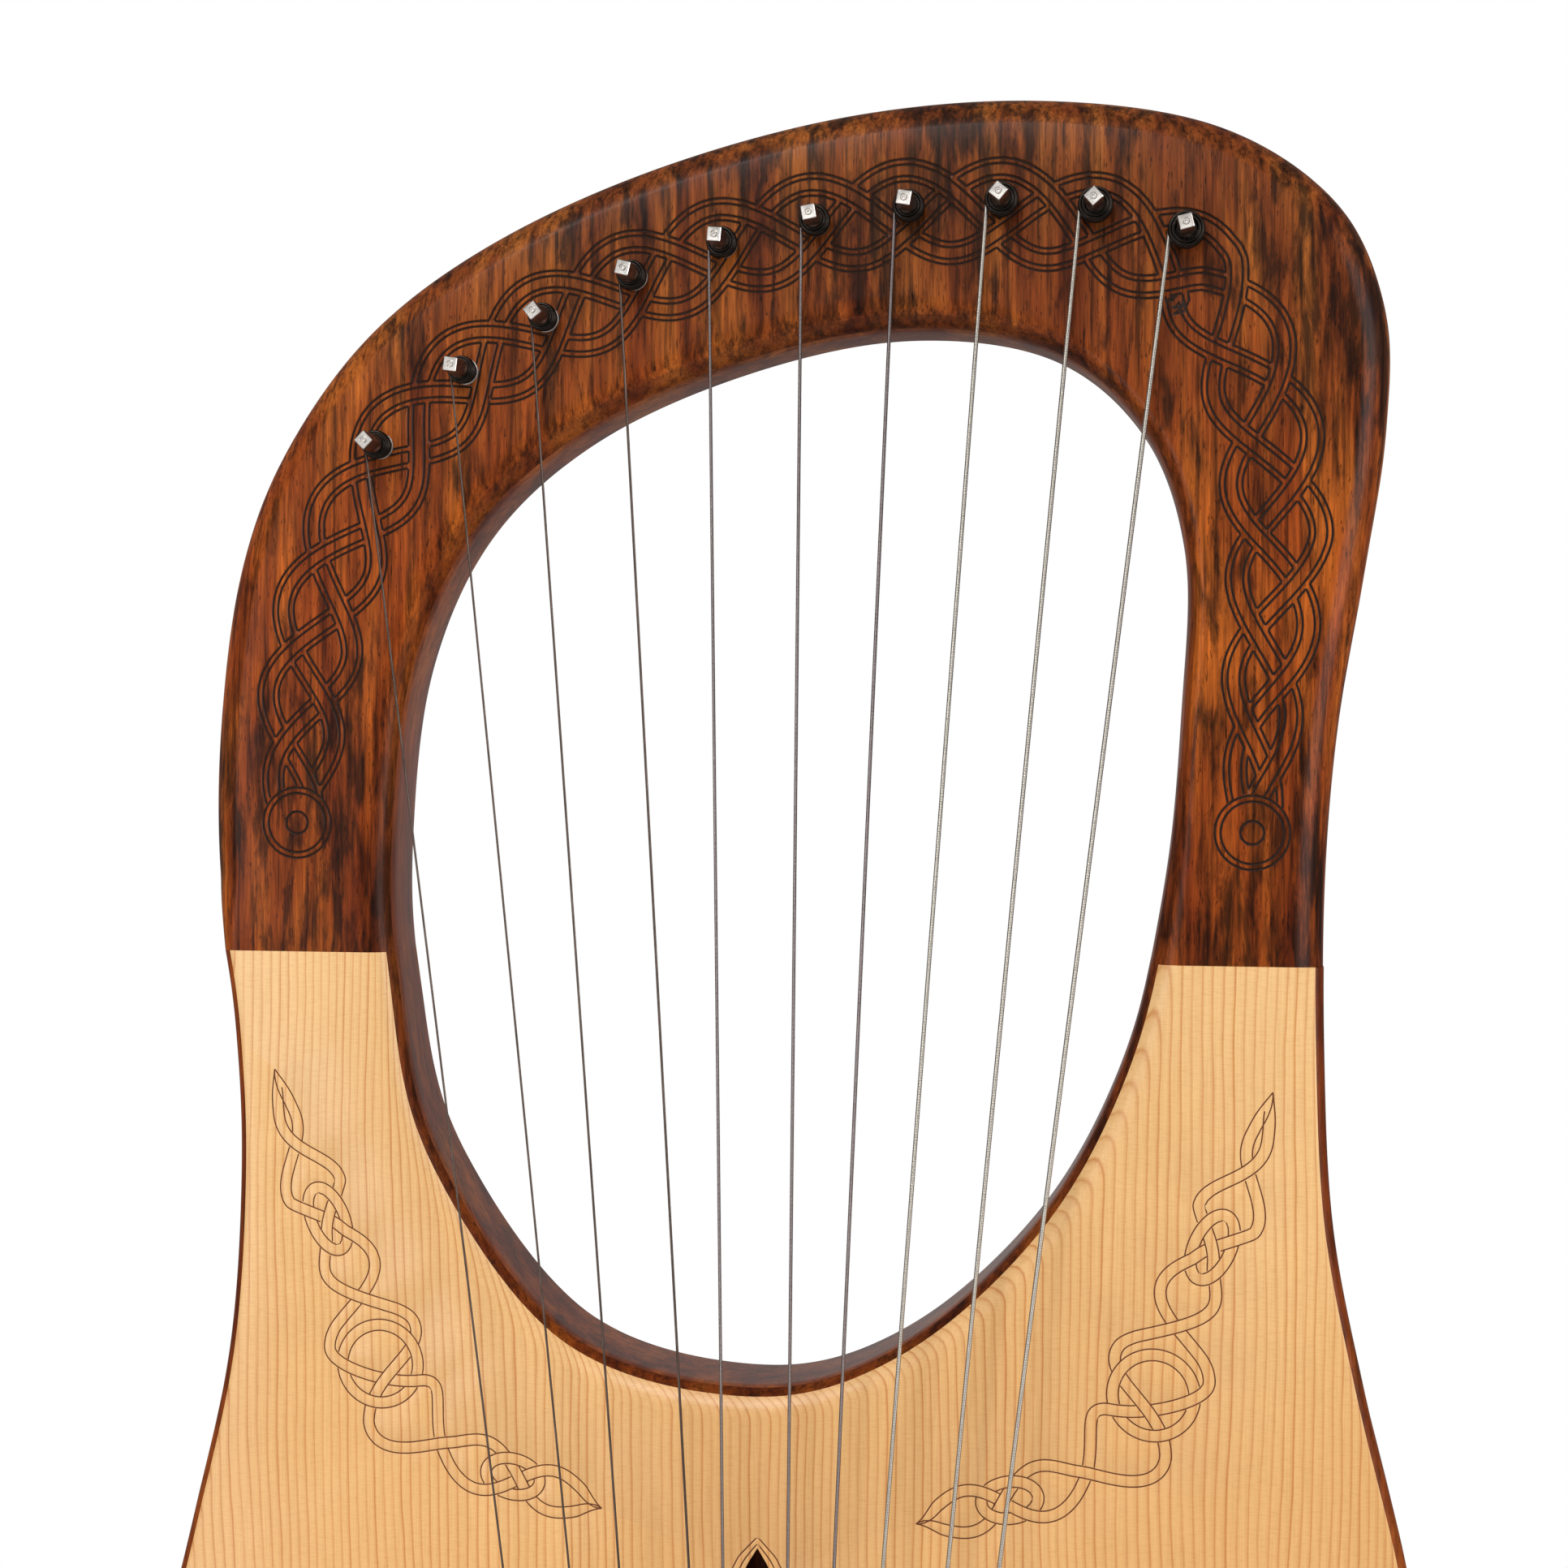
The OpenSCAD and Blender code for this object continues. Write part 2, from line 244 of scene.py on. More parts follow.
def part_of(loop, normals, above):
    """The stretch of a closed loop above or below the joint, from left to right."""
    keep = loop[:, 1] >= JOINT_Z - 0.01 if above else loop[:, 1] <= JOINT_Z + 0.01
    start = next(i for i in range(len(loop)) if keep[i] and not keep[i - 1])
    order = [(start + k) % len(loop) for k in range(int(keep.sum()))]
    if loop[order[0]][0] > loop[order[-1]][0]:
        order = order[::-1]
    return loop[order], normals[order]


def back_depth(z):
    """Y of the back face: level behind the yoke, then sloping out to the foot."""
    return np.where(z >= JOINT_Z, YOKE_BACK, FOOT_Y + (YOKE_BACK - FOOT_Y) * np.minimum(z, JOINT_Z) / JOINT_Z)


# ---- materials

class Shading:
    """The nodes of a material or a world. Inputs are sockets, numbers or colours."""

    def __init__(self, owner, turn=(0, 0, 0), offset=(0, 0, 0)):
        owner.use_nodes = True
        self.owner, self.turn, self.offset = owner, turn, offset
        self.nodes, self.links = owner.node_tree.nodes, owner.node_tree.links

    def fill(self, node, inputs):
        for name, value in inputs.items():
            socket = node.inputs[name]
            if isinstance(value, bpy.types.NodeSocket):
                self.links.new(value, socket)
            elif isinstance(value, (int, float)):
                socket.default_value = value
            else:
                socket.default_value = (*value, 1)[:len(socket.default_value)]

    def node(self, kind, output, inputs, **settings):
        """An output of a new node."""
        node = self.nodes.new("ShaderNode" + kind)
        for name, value in settings.items():
            setattr(node, name, value)
        self.fill(node, inputs)
        return node.outputs[output]

    def xyz(self):
        """The three object coordinates, in metres."""
        node = self.nodes.new("ShaderNodeSeparateXYZ")
        self.links.new(self.node("TexCoord", "Object", {}), node.inputs[0])
        return node.outputs

    def scaled(self, scale):
        """Object coordinates in millimetres, scaled, turned and moved."""
        return self.node("Mapping", "Vector", {
            "Vector": self.node("TexCoord", "Object", {}), "Scale": [s * 1000 for s in scale],
            "Rotation": self.turn, "Location": self.offset})

    def noise(self, scale, detail, rough, distortion=0.0):
        return self.node("TexNoise", "Fac", {"Vector": self.scaled(scale), "Scale": 1.0, "Detail": detail,
                                             "Roughness": rough, "Distortion": distortion})

    def maths(self, operation, *values):
        return self.node("Math", 0, dict(enumerate(values)), operation=operation)

    def mix(self, a, b, factor, kind="MULTIPLY"):
        return self.node("Mix", "Result", {"Factor": factor, "A": a, "B": b}, data_type="RGBA", blend_type=kind)

    def bump(self, height, strength, distance):
        return self.node("Bump", "Normal", {"Height": height, "Strength": strength, "Distance": distance})

    def ramp(self, value, *stops):
        """Colours along a value; a single number stands for a grey."""
        node = self.nodes.new("ShaderNodeValToRGB")
        elements = node.color_ramp.elements
        while len(elements) < len(stops):
            elements.new(0.5)
        for element, (position, colour) in zip(elements, stops):
            element.position = position
            element.color = (*((colour,) * 3 if isinstance(colour, (int, float)) else colour), 1)
        self.links.new(value, node.inputs["Fac"])
        return node.outputs["Color"]

    def layered(self, colour, *layers):
        """A colour multiplied by layers, each with its weight."""
        for layer, weight in layers:
            colour = self.mix(colour, layer, weight)
        return colour

    def finished(self, inputs):
        self.fill(self.nodes["Principled BSDF"], inputs)
        return self.owner


def shading(name, turn=(0, 0, 0), offset=(0, 0, 0)):
    return Shading(bpy.data.materials.new(name), turn, offset)


def times(colour, factor):
    return [c * factor for c in colour]


def rosewood(name, light=1.0, lean=0.05, offset=(0, 0, 0), contrast=1.0, coat=0.05, drift=0.22, duller=None):
    """Orange-brown wood with upright bands, soft near-black streaks in clusters, fibres and short pores.
    Drift is how much darker the streaks get from left to right, duller the coat that is left at the top."""
    s = shading(name, (0, lean, 0), offset)
    x, _, z = s.xyz()
    bands = s.noise((0.085, 0.085, 0.011), 3, 0.6, 0.3)
    streak = s.noise((0.26, 0.26, 0.050), 4, 0.62, 0.4)
    where = s.noise((0.030, 0.030, 0.013), 2, 0.5)
    grain = s.noise((0.62, 0.62, 0.026), 4, 0.65, 0.1)
    fibre = s.noise((2.1, 2.1, 0.09), 3, 0.6)
    pores = s.noise((2.1, 2.1, 0.34), 2, 0.5)
    base = s.ramp(bands, (0.34, times((0.125, 0.0200, 0.0034), light)), (0.48, times((0.205, 0.0390, 0.0056), light)),
                  (0.64, times((0.310, 0.0720, 0.0092), light)))
    limit = s.maths("MULTIPLY_ADD", x, drift, s.maths("MULTIPLY_ADD", where, -0.55, 0.255))
    spots = s.ramp(s.maths("SUBTRACT", streak, limit), (0.35, (0.22, 0.26, 0.38)), (0.43, (0.54, 0.55, 0.60)),
                   (0.50, 0.94), (0.70, (1.16, 1.14, 1.05)))
    veins = s.ramp(grain, (0.38, (0.30, 0.32, 0.38)), (0.455, 0.74), (0.53, 1.0), (0.68, (1.40, 1.42, 1.36)))
    threads = s.ramp(fibre, (0.30, 0.58), (0.52, 1.0), (0.72, 1.38))
    dashes = s.ramp(pores, (0.30, 0.18), (0.37, 1.0))
    # Colour by height: darker near the joint; at the top of the arch painted shade, with a pale bluish painted
    # reflection haze.
    height_tint_and_painted_shade = s.ramp(z, (0.36, 0.80), (0.41, 1.0), (0.47, 1.0), (0.56, (0.72, 0.92, 1.30)))
    return s.finished({
        "Base Color": s.layered(base, (spots, contrast), (veins, 0.9 * contrast), (threads, 0.8 * contrast),
                                (dashes, 0.8 * contrast), (height_tint_and_painted_shade, 1.0)),
        "Roughness": s.ramp(fibre, (0.3, 0.46), (0.7, 0.36)),
        "Specular IOR Level": 0.07,
        "Coat Weight": coat if duller is None else s.ramp(z, (0.42, coat), (0.53, duller)),
        "Coat Roughness": 0.18,
        "Normal": s.bump(dashes, 0.12, 0.0001)})


def spruce(name, pale, lacquer=True, offset=(0, 0, 0)):
    """Honey-coloured spruce: upright year rings with a sharp dark edge each, fine fibre and level flecks."""
    s = shading(name, offset=offset)
    x, y, z = s.xyz()
    sway = s.noise((0.010, 0.010, 0.0040), 2, 0.5)
    ripple = s.noise((0.16, 0.16, 0.05), 2, 0.5)
    fibre = s.noise((2.2, 2.2, 0.05), 3, 0.6)
    level = s.noise((0.34, 0.34, 3.0), 3, 0.6)
    patch = s.noise((0.014, 0.014, 0.006), 2, 0.5)
    place = s.maths("MULTIPLY_ADD", y, 1.6, x)
    place = s.maths("MULTIPLY_ADD", place, 1000 / RING_PITCH, s.maths("MULTIPLY", sway, 9.0))
    place = s.maths("MULTIPLY_ADD", ripple, 0.35, place)
    ring = s.maths("FLOOR", place)
    chance = s.node("TexWhiteNoise", "Value", {"W": ring}, noise_dimensions="1D")
    late = s.ramp(s.maths("SUBTRACT", place, ring), (0.0, 0.30), (0.08, 0.0), (0.52, 0.03), (0.77, 0.36),
                  (0.87, 1.0), (0.93, 0.92), (1.0, 0.30))
    late = s.maths("MULTIPLY", late, s.maths("MULTIPLY_ADD", chance, 0.55, 0.45))
    rings = s.mix(times((0.660, 0.385, 0.152), pale), times((0.480, 0.188, 0.046), pale), late, "MIX")
    threads = s.ramp(fibre, (0.3, (0.92, 0.89, 0.84)), (0.5, 1.0), (0.7, (1.05, 1.06, 1.07)))
    flecks = s.ramp(level, (0.33, (0.88, 0.82, 0.74)), (0.5, 1.0), (0.72, (1.05, 1.07, 1.10)))
    tone = s.ramp(patch, (0.3, (0.93, 0.89, 0.84)), (0.7, (1.04, 1.05, 1.07)))
    fade = s.ramp(s.maths("MULTIPLY", z, 2.5), (0.45, (0.97, 0.93, 0.88)), (0.92, (1.03, 1.10, 1.22)))
    return s.finished({
        "Base Color": s.layered(rings, (threads, 0.8), (flecks, 0.5), (tone, 0.9), (fade, 1.0)),
        "Roughness": 0.45 if lacquer else 0.75,
        "Coat Weight": 0.2 if lacquer else 0.0,
        "Coat Roughness": 0.22,
        "Specular IOR Level": 0.30,
        "Normal": s.bump(fibre, 0.06, 0.0001)})


def burned(name, colour):
    """Dark wood in the bottom of a burned or cut line."""
    s = shading(name)
    shades = s.ramp(s.noise((1.5, 1.5, 0.6), 3, 0.6), (0.3, times(colour, 0.6)), (0.7, times(colour, 1.4)))
    return s.finished({"Base Color": shades, "Roughness": 0.7, "Specular IOR Level": 0.2})


def metal(name, light, dark, rough, scale, relief=0.15):
    """Metal with drawn marks and a slight change of tone."""
    s = shading(name)
    marks = s.noise(scale, 4, 0.6)
    return s.finished({
        "Base Color": s.ramp(marks, (0.3, dark), (0.7, light)),
        "Roughness": s.ramp(marks, (0.3, rough * 1.3), (0.7, rough * 0.8)),
        "Metallic": 1.0,
        "Normal": s.bump(marks, relief, 0.00005)})


def wound(name, light, dark, pitch):
    """Steel wire wound with fine wire, whose turns lie across the string."""
    s = shading(name)
    turns = s.node("TexWave", "Fac", {"Vector": s.scaled((0.314, 0.314, 0.314)), "Scale": 1.0 / pitch,
                                      "Distortion": 0.0}, bands_direction="Z")
    return s.finished({"Base Color": s.ramp(turns, (0.1, dark), (0.6, light)), "Metallic": 1.0,
                       "Roughness": 0.34, "Normal": s.bump(turns, 0.5, 0.0001)})


def bone(name):
    s = shading(name)
    cloud = s.noise((0.10, 0.3, 0.6), 4, 0.6)
    return s.finished({"Base Color": s.ramp(cloud, (0.3, (0.66, 0.57, 0.40)), (0.7, (0.83, 0.77, 0.62))),
                       "Roughness": 0.32, "Subsurface Weight": 0.1, "Subsurface Radius": (0.002, 0.0015, 0.001)})


ROSEWOOD = rosewood("rosewood_yoke", light=0.90)
ROSEWOOD_SIDE = rosewood("rosewood_sides", light=0.95, offset=(3.1, 0.7, 1.9), contrast=0.6)
ROSEWOOD_BACK = rosewood("rosewood_back", lean=0.02, offset=(7.3, 2.2, 4.1), contrast=0.8)
ROSEWOOD_DARK = rosewood("rosewood_fittings", light=0.75, offset=(1.3, 5.2, 0.4))
# Darker copy of the yoke's rosewood for the roundings of the opening: painted shade.
ROSEWOOD_PAINTED_SHADE_EDGE = rosewood("rosewood_painted_shade_edge", light=0.66, contrast=0.8)
ROSEWOOD_WALL = rosewood("rosewood_wall", light=0.85, offset=(5.1, 1.7, 2.9), contrast=0.5, coat=0.75, drift=0.0,
                         duller=0.15)
SPRUCE = spruce("spruce_top", pale=0.87)
RAW_SPRUCE = spruce("spruce_inner", pale=0.85, lacquer=False, offset=(4, 4, 4))
GROOVE = burned("burned_groove", (0.018, 0.008, 0.005))
LINE = burned("burned_line", (0.10, 0.028, 0.009))
NICKEL = metal("nickel_steel", (0.62, 0.59, 0.555), (0.52, 0.49, 0.455), 0.30, (0.25, 0.25, 0.25), relief=0.02)
# Darker, browner copy of the pin's nickel with the same roughness: painted shade on the head's sides and its centre
# mark.
PIN_SIDE_PAINTED_SHADE = metal("nickel_painted_shade", (0.34, 0.29, 0.25), (0.13, 0.105, 0.09), 0.30, (1.2, 1.2, 1.2))
# Pale metal for the ring round each pin, which stands in for the shaft's highlight: painted highlight.
HIGHLIGHT_RING = metal("ring_painted_highlight", (0.44, 0.41, 0.38), (0.28, 0.255, 0.235), 0.46, (0.8, 0.8, 0.8))
COIL_DARK = metal("coil_wire_dark", (0.034, 0.028, 0.024), (0.012, 0.010, 0.009), 0.36, (0.9, 0.9, 2.0))
PLAIN_WIRE = metal("plain_wire", (0.125, 0.090, 0.075), (0.060, 0.045, 0.038), 0.36, (2, 2, 0.05))
WOUND_THIN = wound("wound_wire_dark", (0.22, 0.185, 0.18), (0.075, 0.062, 0.06), 0.26)
WOUND_WIRE = wound("wound_wire", (0.44, 0.41, 0.36), (0.15, 0.135, 0.12), 0.30)
BRASS = metal("brass", (0.83, 0.62, 0.27), (0.55, 0.38, 0.14), 0.26, (0.8, 0.8, 0.8))
BONE = bone("bone")


# ---- interlace

def resampled(points, step):
    """Points along a polyline at even steps."""
    points = np.asarray(points, float)
    lengths = np.concatenate([[0], np.cumsum(np.linalg.norm(np.diff(points[:, :2], axis=0), axis=1))])
    count = max(2, int(round(lengths[-1] / step)) + 1)
    at = np.linspace(0, lengths[-1], count)
    return np.stack([np.interp(at, lengths, points[:, k]) for k in range(points.shape[1])], axis=1)


def crossing_list(strands):
    """Crossings of strands given as even polylines: (strand, index, strand, index)."""
    found = []
    for a in range(len(strands)):
        for b in range(a, len(strands)):
            p, q = strands[a][:, :2], strands[b][:, :2]
            p0, p1, q0, q1 = p[:-1], p[1:], q[:-1], q[1:]
            r, s = p1 - p0, q1 - q0
            cross = r[:, None, 0] * s[None, :, 1] - r[:, None, 1] * s[None, :, 0]
            d = q0[None] - p0[:, None]
            with np.errstate(divide="ignore", invalid="ignore"):
                t = (d[..., 0] * s[None, :, 1] - d[..., 1] * s[None, :, 0]) / cross
                u = (d[..., 0] * r[:, None, 1] - d[..., 1] * r[:, None, 0]) / cross
            hit = (t >= 0) & (t < 1) & (u >= 0) & (u < 1) & (np.abs(cross) > 1e-9)
            for i, j in zip(*np.nonzero(hit)):
                if a != b or j > i + 3:
                    found.append((a, int(i), b, int(j)))
    return found


def alternate(strands, crossings):
    """Which strand lies on top at each crossing, alternating along every strand: 0 first, 1 second."""
    visits = [[] for _ in strands]
    for c, (a, i, b, j) in enumerate(crossings):
        visits[a].append((i, c, 0))
        visits[b].append((j, c, 1))
    for strand_visits in visits:
        strand_visits.sort()
    over = {}
    pending = list(range(len(strands)))
    while pending:
        known = [s for s in pending if any(c in over for _, c, _ in visits[s])]
        s = known[0] if known else pending[0]
        pending.remove(s)
        start = next((k for k, (_, c, _) in enumerate(visits[s]) if c in over), 0)
        for k, (_, c, side) in enumerate(visits[s]):
            if c in over:
                continue
            on_top = True
            if k or known:
                _, c0, side0 = visits[s][start]
                on_top = (over.get(c0, side0) == side0) ^ ((k - start) % 2 == 1)
            over[c] = side if on_top else 1 - side
    return over


def strand_lines(strands, offsets, half_band, step, edge=None):
    """Grooves along each strand at the given offsets, cut off where the strand dives under another.
    A third value of a strand's points widens it there. With edge, the strand has a border from edge
    to half_band, and the borders of crossing strands run into each other."""
    even = [resampled(s, step) for s in strands]
    extra = [s[:, 2] if s.shape[1] > 2 else np.zeros(len(s)) for s in even]
    even = [s[:, :2] for s in even]
    crossings = crossing_list(even)
    over = alternate(even, crossings)
    lines = []
    reach = int(3.4 * half_band / step)
    for s, path in enumerate(even):
        side = left_normals(path)
        for offset in offsets:
            line = path + side * (offset + math.copysign(1, offset) * extra[s])[:, None]
            keep = np.ones(len(line), bool)
            for c, (a, i, b, j) in enumerate(crossings):
                top, bottom = ((a, i), (b, j)) if over[c] == 0 else ((b, j), (a, i))
                for (own, at), (other, there), on_top in ((bottom, top, False), (top, bottom, True)):
                    if own != s or (on_top and (edge is None or abs(offset) < half_band)):
                        continue
                    near = slice(max(0, at - reach), min(len(line), at + reach))
                    rival = slice(max(0, there - reach), there + reach)
                    away = np.linalg.norm(line[near][:, None] - even[other][rival][None], axis=2)
                    away = (away - extra[other][rival]).min(axis=1)
                    keep[near] &= (away < edge) | (away > half_band) if on_top else away > half_band
            lines += stretches_of(line, keep)
    return lines


def stretches_of(line, keep):
    """The runs of a line's points that are kept."""
    runs, start = [], None
    for k in range(len(line) + 1):
        if k < len(line) and keep[k]:
            start = k if start is None else start
        elif start is not None:
            if k - start > 2:
                runs.append(line[start:k])
            start = None
    return runs


def ellipse(cx, cz, rx, rz, turn=0.0, count=72):
    angle = np.linspace(0, 2 * math.pi, count + 1)
    x, z = rx * np.cos(angle), rz * np.sin(angle)
    return np.stack([cx + x * math.cos(turn) - z * math.sin(turn),
                     cz + x * math.sin(turn) + z * math.cos(turn)], axis=1)


def inside_polygon(points, polygon):
    """Even-odd test of many points against a closed polygon."""
    x, z = points[:, 0], points[:, 1]
    inside = np.zeros(len(points), bool)
    ends = np.roll(polygon, -1, axis=0)
    for (x0, z0), (x1, z1) in zip(polygon, ends):
        if z0 == z1:
            continue
        crosses = (z0 > z) != (z1 > z)
        inside ^= crosses & (x < (x1 - x0) * (z - z0) / (z1 - z0) + x0)
    return inside


def outside_shape(lines, shape):
    """The stretches of lines outside a closed shape."""
    return [run for line in lines for run in stretches_of(line, ~inside_polygon(line, shape))]


def distance_to(points, lines, cell=3.0):
    """Distance from each point to the nearest stretch of any line, looked up in a grid."""
    grid = {}
    for line in lines:
        for a, b in zip(line[:-1], line[1:]):
            for gx in {int(a[0] // cell), int(b[0] // cell)}:
                for gz in {int(a[1] // cell), int(b[1] // cell)}:
                    for dx in (-1, 0, 1):
                        for dz in (-1, 0, 1):
                            grid.setdefault((gx + dx, gz + dz), []).append((a, b))
    packed = {k: (np.array([s[0] for s in v]), np.array([s[1] for s in v])) for k, v in grid.items()}
    result = np.full(len(points), 1e6)
    for i, p in enumerate(points):
        found = packed.get((int(p[0] // cell), int(p[1] // cell)))
        if found is None:
            continue
        a, b = found
        ab = b - a
        t = np.clip(((p - a) * ab).sum(1) / np.maximum((ab * ab).sum(1), 1e-12), 0, 1)
        result[i] = np.linalg.norm(a + ab * t[:, None] - p, axis=1).min()
    return result


def engraved_cap(boundary, holes, lines, half_width, floor_width, depth):
    """Triangles over a flat region with V-shaped grooves along lines, dark up to floor_width.
    Returns points in X and Z, the depth at each point, triangles, and which triangles are dark."""
    coords, edges = [], []

    def add(points, closed=True):
        first, n = len(coords), len(points)
        coords.extend((float(x), float(z)) for x, z in points)
        edges.extend((first + k, first + k + 1) for k in range(n - 1))
        if closed:
            edges.append((first + n - 1, first))

    for loop in [boundary, *holes]:
        add(loop)
    for line in lines:
        thin = resampled(line, 1.15)
        side = left_normals(thin)
        add(thin, closed=False)
        for width in {half_width, floor_width}:
            add(np.vstack([thin + side * width, (thin - side * width)[::-1]]))
    out = geometry.delaunay_2d_cdt([Vector(c) for c in coords], edges, [], 0, 1e-4)
    points = np.array([(v.x, v.y) for v in out[0]])
    triangles = np.array([list(f) for f in out[2]], dtype=int)
    middles = points[triangles].mean(axis=1)
    keep = inside_polygon(middles, np.asarray(boundary))
    for hole in holes:
        keep &= ~inside_polygon(middles, np.asarray(hole))
    triangles, middles = triangles[keep], middles[keep]
    if not lines:
        return points, np.zeros(len(points)), triangles, np.zeros(len(triangles), bool)
    depths = depth * np.clip(1 - distance_to(points, lines) / half_width, 0, 1)
    depths[depths < 0.02 * depth] = 0
    grooved = (distance_to(middles, lines) < floor_width * 1.02) & (depths[triangles].max(axis=1) > 0)
    return points, depths, triangles, grooved


# ---- plates and bands

def rounding(reach, depth, start_degrees=0.0, steps=ROUND_STEPS):
    """(inset, depth) down an elliptical edge from the flat face, as arrays over the outline's points.
    A start angle above zero leaves a crease along the flat face."""
    reach, depth = np.asarray(reach, float), np.asarray(depth, float)
    start = np.radians(start_degrees)
    wide, deep = reach / (1 - np.sin(start)), depth / np.cos(start)
    result = []
    for k in range(steps + 1):
        a = start + (math.pi / 2 - start) * k / steps
        result.append((wide * (1 - np.sin(a)), deep * (np.cos(start) - np.cos(a))))
    return result


def depth_at(inset, reach, depth, start_degrees=0.0):
    """Depth of an elliptical edge at an inset from the outline."""
    start = np.radians(start_degrees)
    wide, deep = reach / (1 - np.sin(start)), depth / np.cos(start)
    return deep * (np.cos(start) - np.sqrt(np.maximum(0, 1 - (1 - np.minimum(inset, reach) / wide) ** 2)))


class Plate:
    """A closed solid between two caps, built ring by ring round one outline."""

    def __init__(self, outline, inward):
        self.outline, self.inward = outline, inward
        self.verts, self.faces, self.slots = [], [], []
        self.last = None

    def strip(self, a, b, n):
        """Faces between two closed rings of n vertices, which start at a and b."""
        for k in range(n):
            m = (k + 1) % n
            self.faces.append((a + k, a + m, b + m, b + k))
            self.slots.append(0)

    def inset(self, distance):
        return self.outline + self.inward * np.asarray(distance).reshape(-1, 1)

    def ring(self, distance, y):
        points = self.inset(distance)
        first, n = len(self.verts), len(points)
        self.verts.extend((p[0], d, p[1]) for p, d in zip(points, np.broadcast_to(y, n)))
        if self.last is not None:
            self.strip(self.last, first, n)
        self.last = first
        return points

    def tunnel(self, loop, y0, y1):
        """Wall of a hole from one depth to another. Returns its last ring's first vertex."""
        first, n = len(self.verts), len(loop)
        for y in (y0, y1):
            self.verts.extend((p[0], y, p[1]) for p in loop)
        self.strip(first, first + n, n)
        return first + n

    def cap(self, boundary, holes, y, lines=(), half_width=0.3, floor_width=0.3, depth=0.4):
        """Flat end of the plate. y is a number, or a function of Z on a sloping face."""
        points, depths, triangles, grooved = engraved_cap(boundary, holes, list(lines), half_width,
                                                          floor_width, depth)
        first = len(self.verts)
        self.verts.extend((x, (y(z) if callable(y) else y) + d, z) for (x, z), d in zip(points, depths))
        self.faces.extend(tuple(first + i for i in t) for t in triangles)
        self.slots.extend(int(g) for g in grooved)

    @property
    def shape(self):
        return self.verts, self.faces


def plate_outline(above):
    """One closed outline of the yoke or the box: outer arc, then the opening's arc back. The third value
    is how much of the way each point is on the opening's side, 0 or 1."""
    outer, outer_in = part_of(OUTER, OUTER_IN, above)
    opening, opening_out = part_of(OPENING, OPENING_OUT, above)
    outline = np.vstack([outer, opening[::-1]])
    inward = level_at_joint(outline, np.vstack([outer_in, opening_out[::-1]]))
    return outline, inward, np.concatenate([np.zeros(len(outer)), np.ones(len(opening))])


def level_at_joint(points, inward):
    """Normals that turn level towards the joint, which keeps both sides of it on its plane."""
    inward = inward.copy()
    near = 1 - np.clip(np.abs(points[:, 1] - JOINT_Z) / 12, 0, 1)
    for i in np.nonzero(near)[0]:
        x, z = inward[i]
        inward[i] = (x + (1 / x - x) * near[i], z * (1 - near[i]))
    return inward


def by_side(on_opening, outer_value, opening_value):
    return np.where(on_opening > 0.5, opening_value, outer_value)


def circle(cx, cz, radius, count=32):
    return ellipse(cx, cz, radius, radius, count=count)[:-1]


def lathe(rings, close_start=True, close_end=True):
    """Closed surface through rings of equally many points, with its ends filled."""
    verts, faces = [], []
    n = len(rings[0])
    for ring in rings:
        verts.extend(tuple(p) for p in ring)
    for s in range(len(rings) - 1):
        for k in range(n):
            m = (k + 1) % n
            faces.append((s * n + k, s * n + m, (s + 1) * n + m, (s + 1) * n + k))
    if close_start:
        faces.append(tuple(range(n))[::-1])
    if close_end:
        faces.append(tuple(range((len(rings) - 1) * n, len(rings) * n)))
    return verts, faces


def tube(path, radius, sides=12, closed=False):
    """Round tube along points, with evenly carried cross-sections."""
    path = np.asarray(path, float)
    along = np.roll(path, -1, axis=0) - np.roll(path, 1, axis=0) if closed else np.gradient(path, axis=0)
    along /= np.linalg.norm(along, axis=1)[:, None]
    across = np.cross(along[0], (0.0, 0.0, 1.0) if abs(along[0][2]) < 0.9 else (0.0, 1.0, 0.0))
    rings = []
    for p, t in zip(path, along):
        across = across - t * np.dot(across, t)
        across /= np.linalg.norm(across)
        other = np.cross(t, across)
        rings.append([p + radius * (across * math.cos(a) + other * math.sin(a)) for a in angles(sides)])
    if not closed:
        return lathe(rings)
    verts, faces = lathe(rings, False, False)
    last = (len(rings) - 1) * sides
    faces += [(last + k, last + (k + 1) % sides, (k + 1) % sides, k) for k in range(sides)]
    return verts, faces


def angles(count):
    return np.linspace(0, 2 * math.pi, count, endpoint=False)


def circle_y(cx, cz, y, radius, count=32):
    return [(cx + radius * math.cos(a), y, cz + radius * math.sin(a)) for a in angles(count)]


def circle_z(cx, cy, z, radius, count=24):
    return [(cx + radius * math.cos(a), cy + radius * math.sin(a), z) for a in angles(count)]


def joined(parts):
    verts, faces = [], []
    for v, f in parts:
        first = len(verts)
        verts.extend(v)
        faces.extend(tuple(first + i for i in face) for face in f)
    return verts, faces


def rounded(corners, radii, steps=4, closed=True):
    """Polygon or polyline with its corners rounded; radii is one number or one for each corner."""
    corners = [np.array(c, float) for c in corners]
    radii = np.broadcast_to(radii, len(corners))
    result = []
    for i, c in enumerate(corners):
        if not closed and i in (0, len(corners) - 1):
            result.append(c)
            continue
        sides = [other - c for other in (corners[i - 1], corners[(i + 1) % len(corners)])]
        lengths = [np.linalg.norm(side) for side in sides]
        r = min(radii[i], 0.45 * lengths[0], 0.45 * lengths[1])
        a, b = (c + side / length * r for side, length in zip(sides, lengths))
        for k in range(steps + 1):
            t = k / steps
            result.append((1 - t) ** 2 * a + 2 * t * (1 - t) * c + t ** 2 * b)
    return result


# ---- where the CAD has its pins and strings

PIN_BODIES = sorted(b for b in frame["bodies"] if b.startswith("pin_"))
PINS = np.array([sum(node_box(b.replace("pin_", "tuning_pin_")))[[0, 2]] / 2 for b in PIN_BODIES])
HEAD_Y = node_box("tuning_pin_01")[0][1]


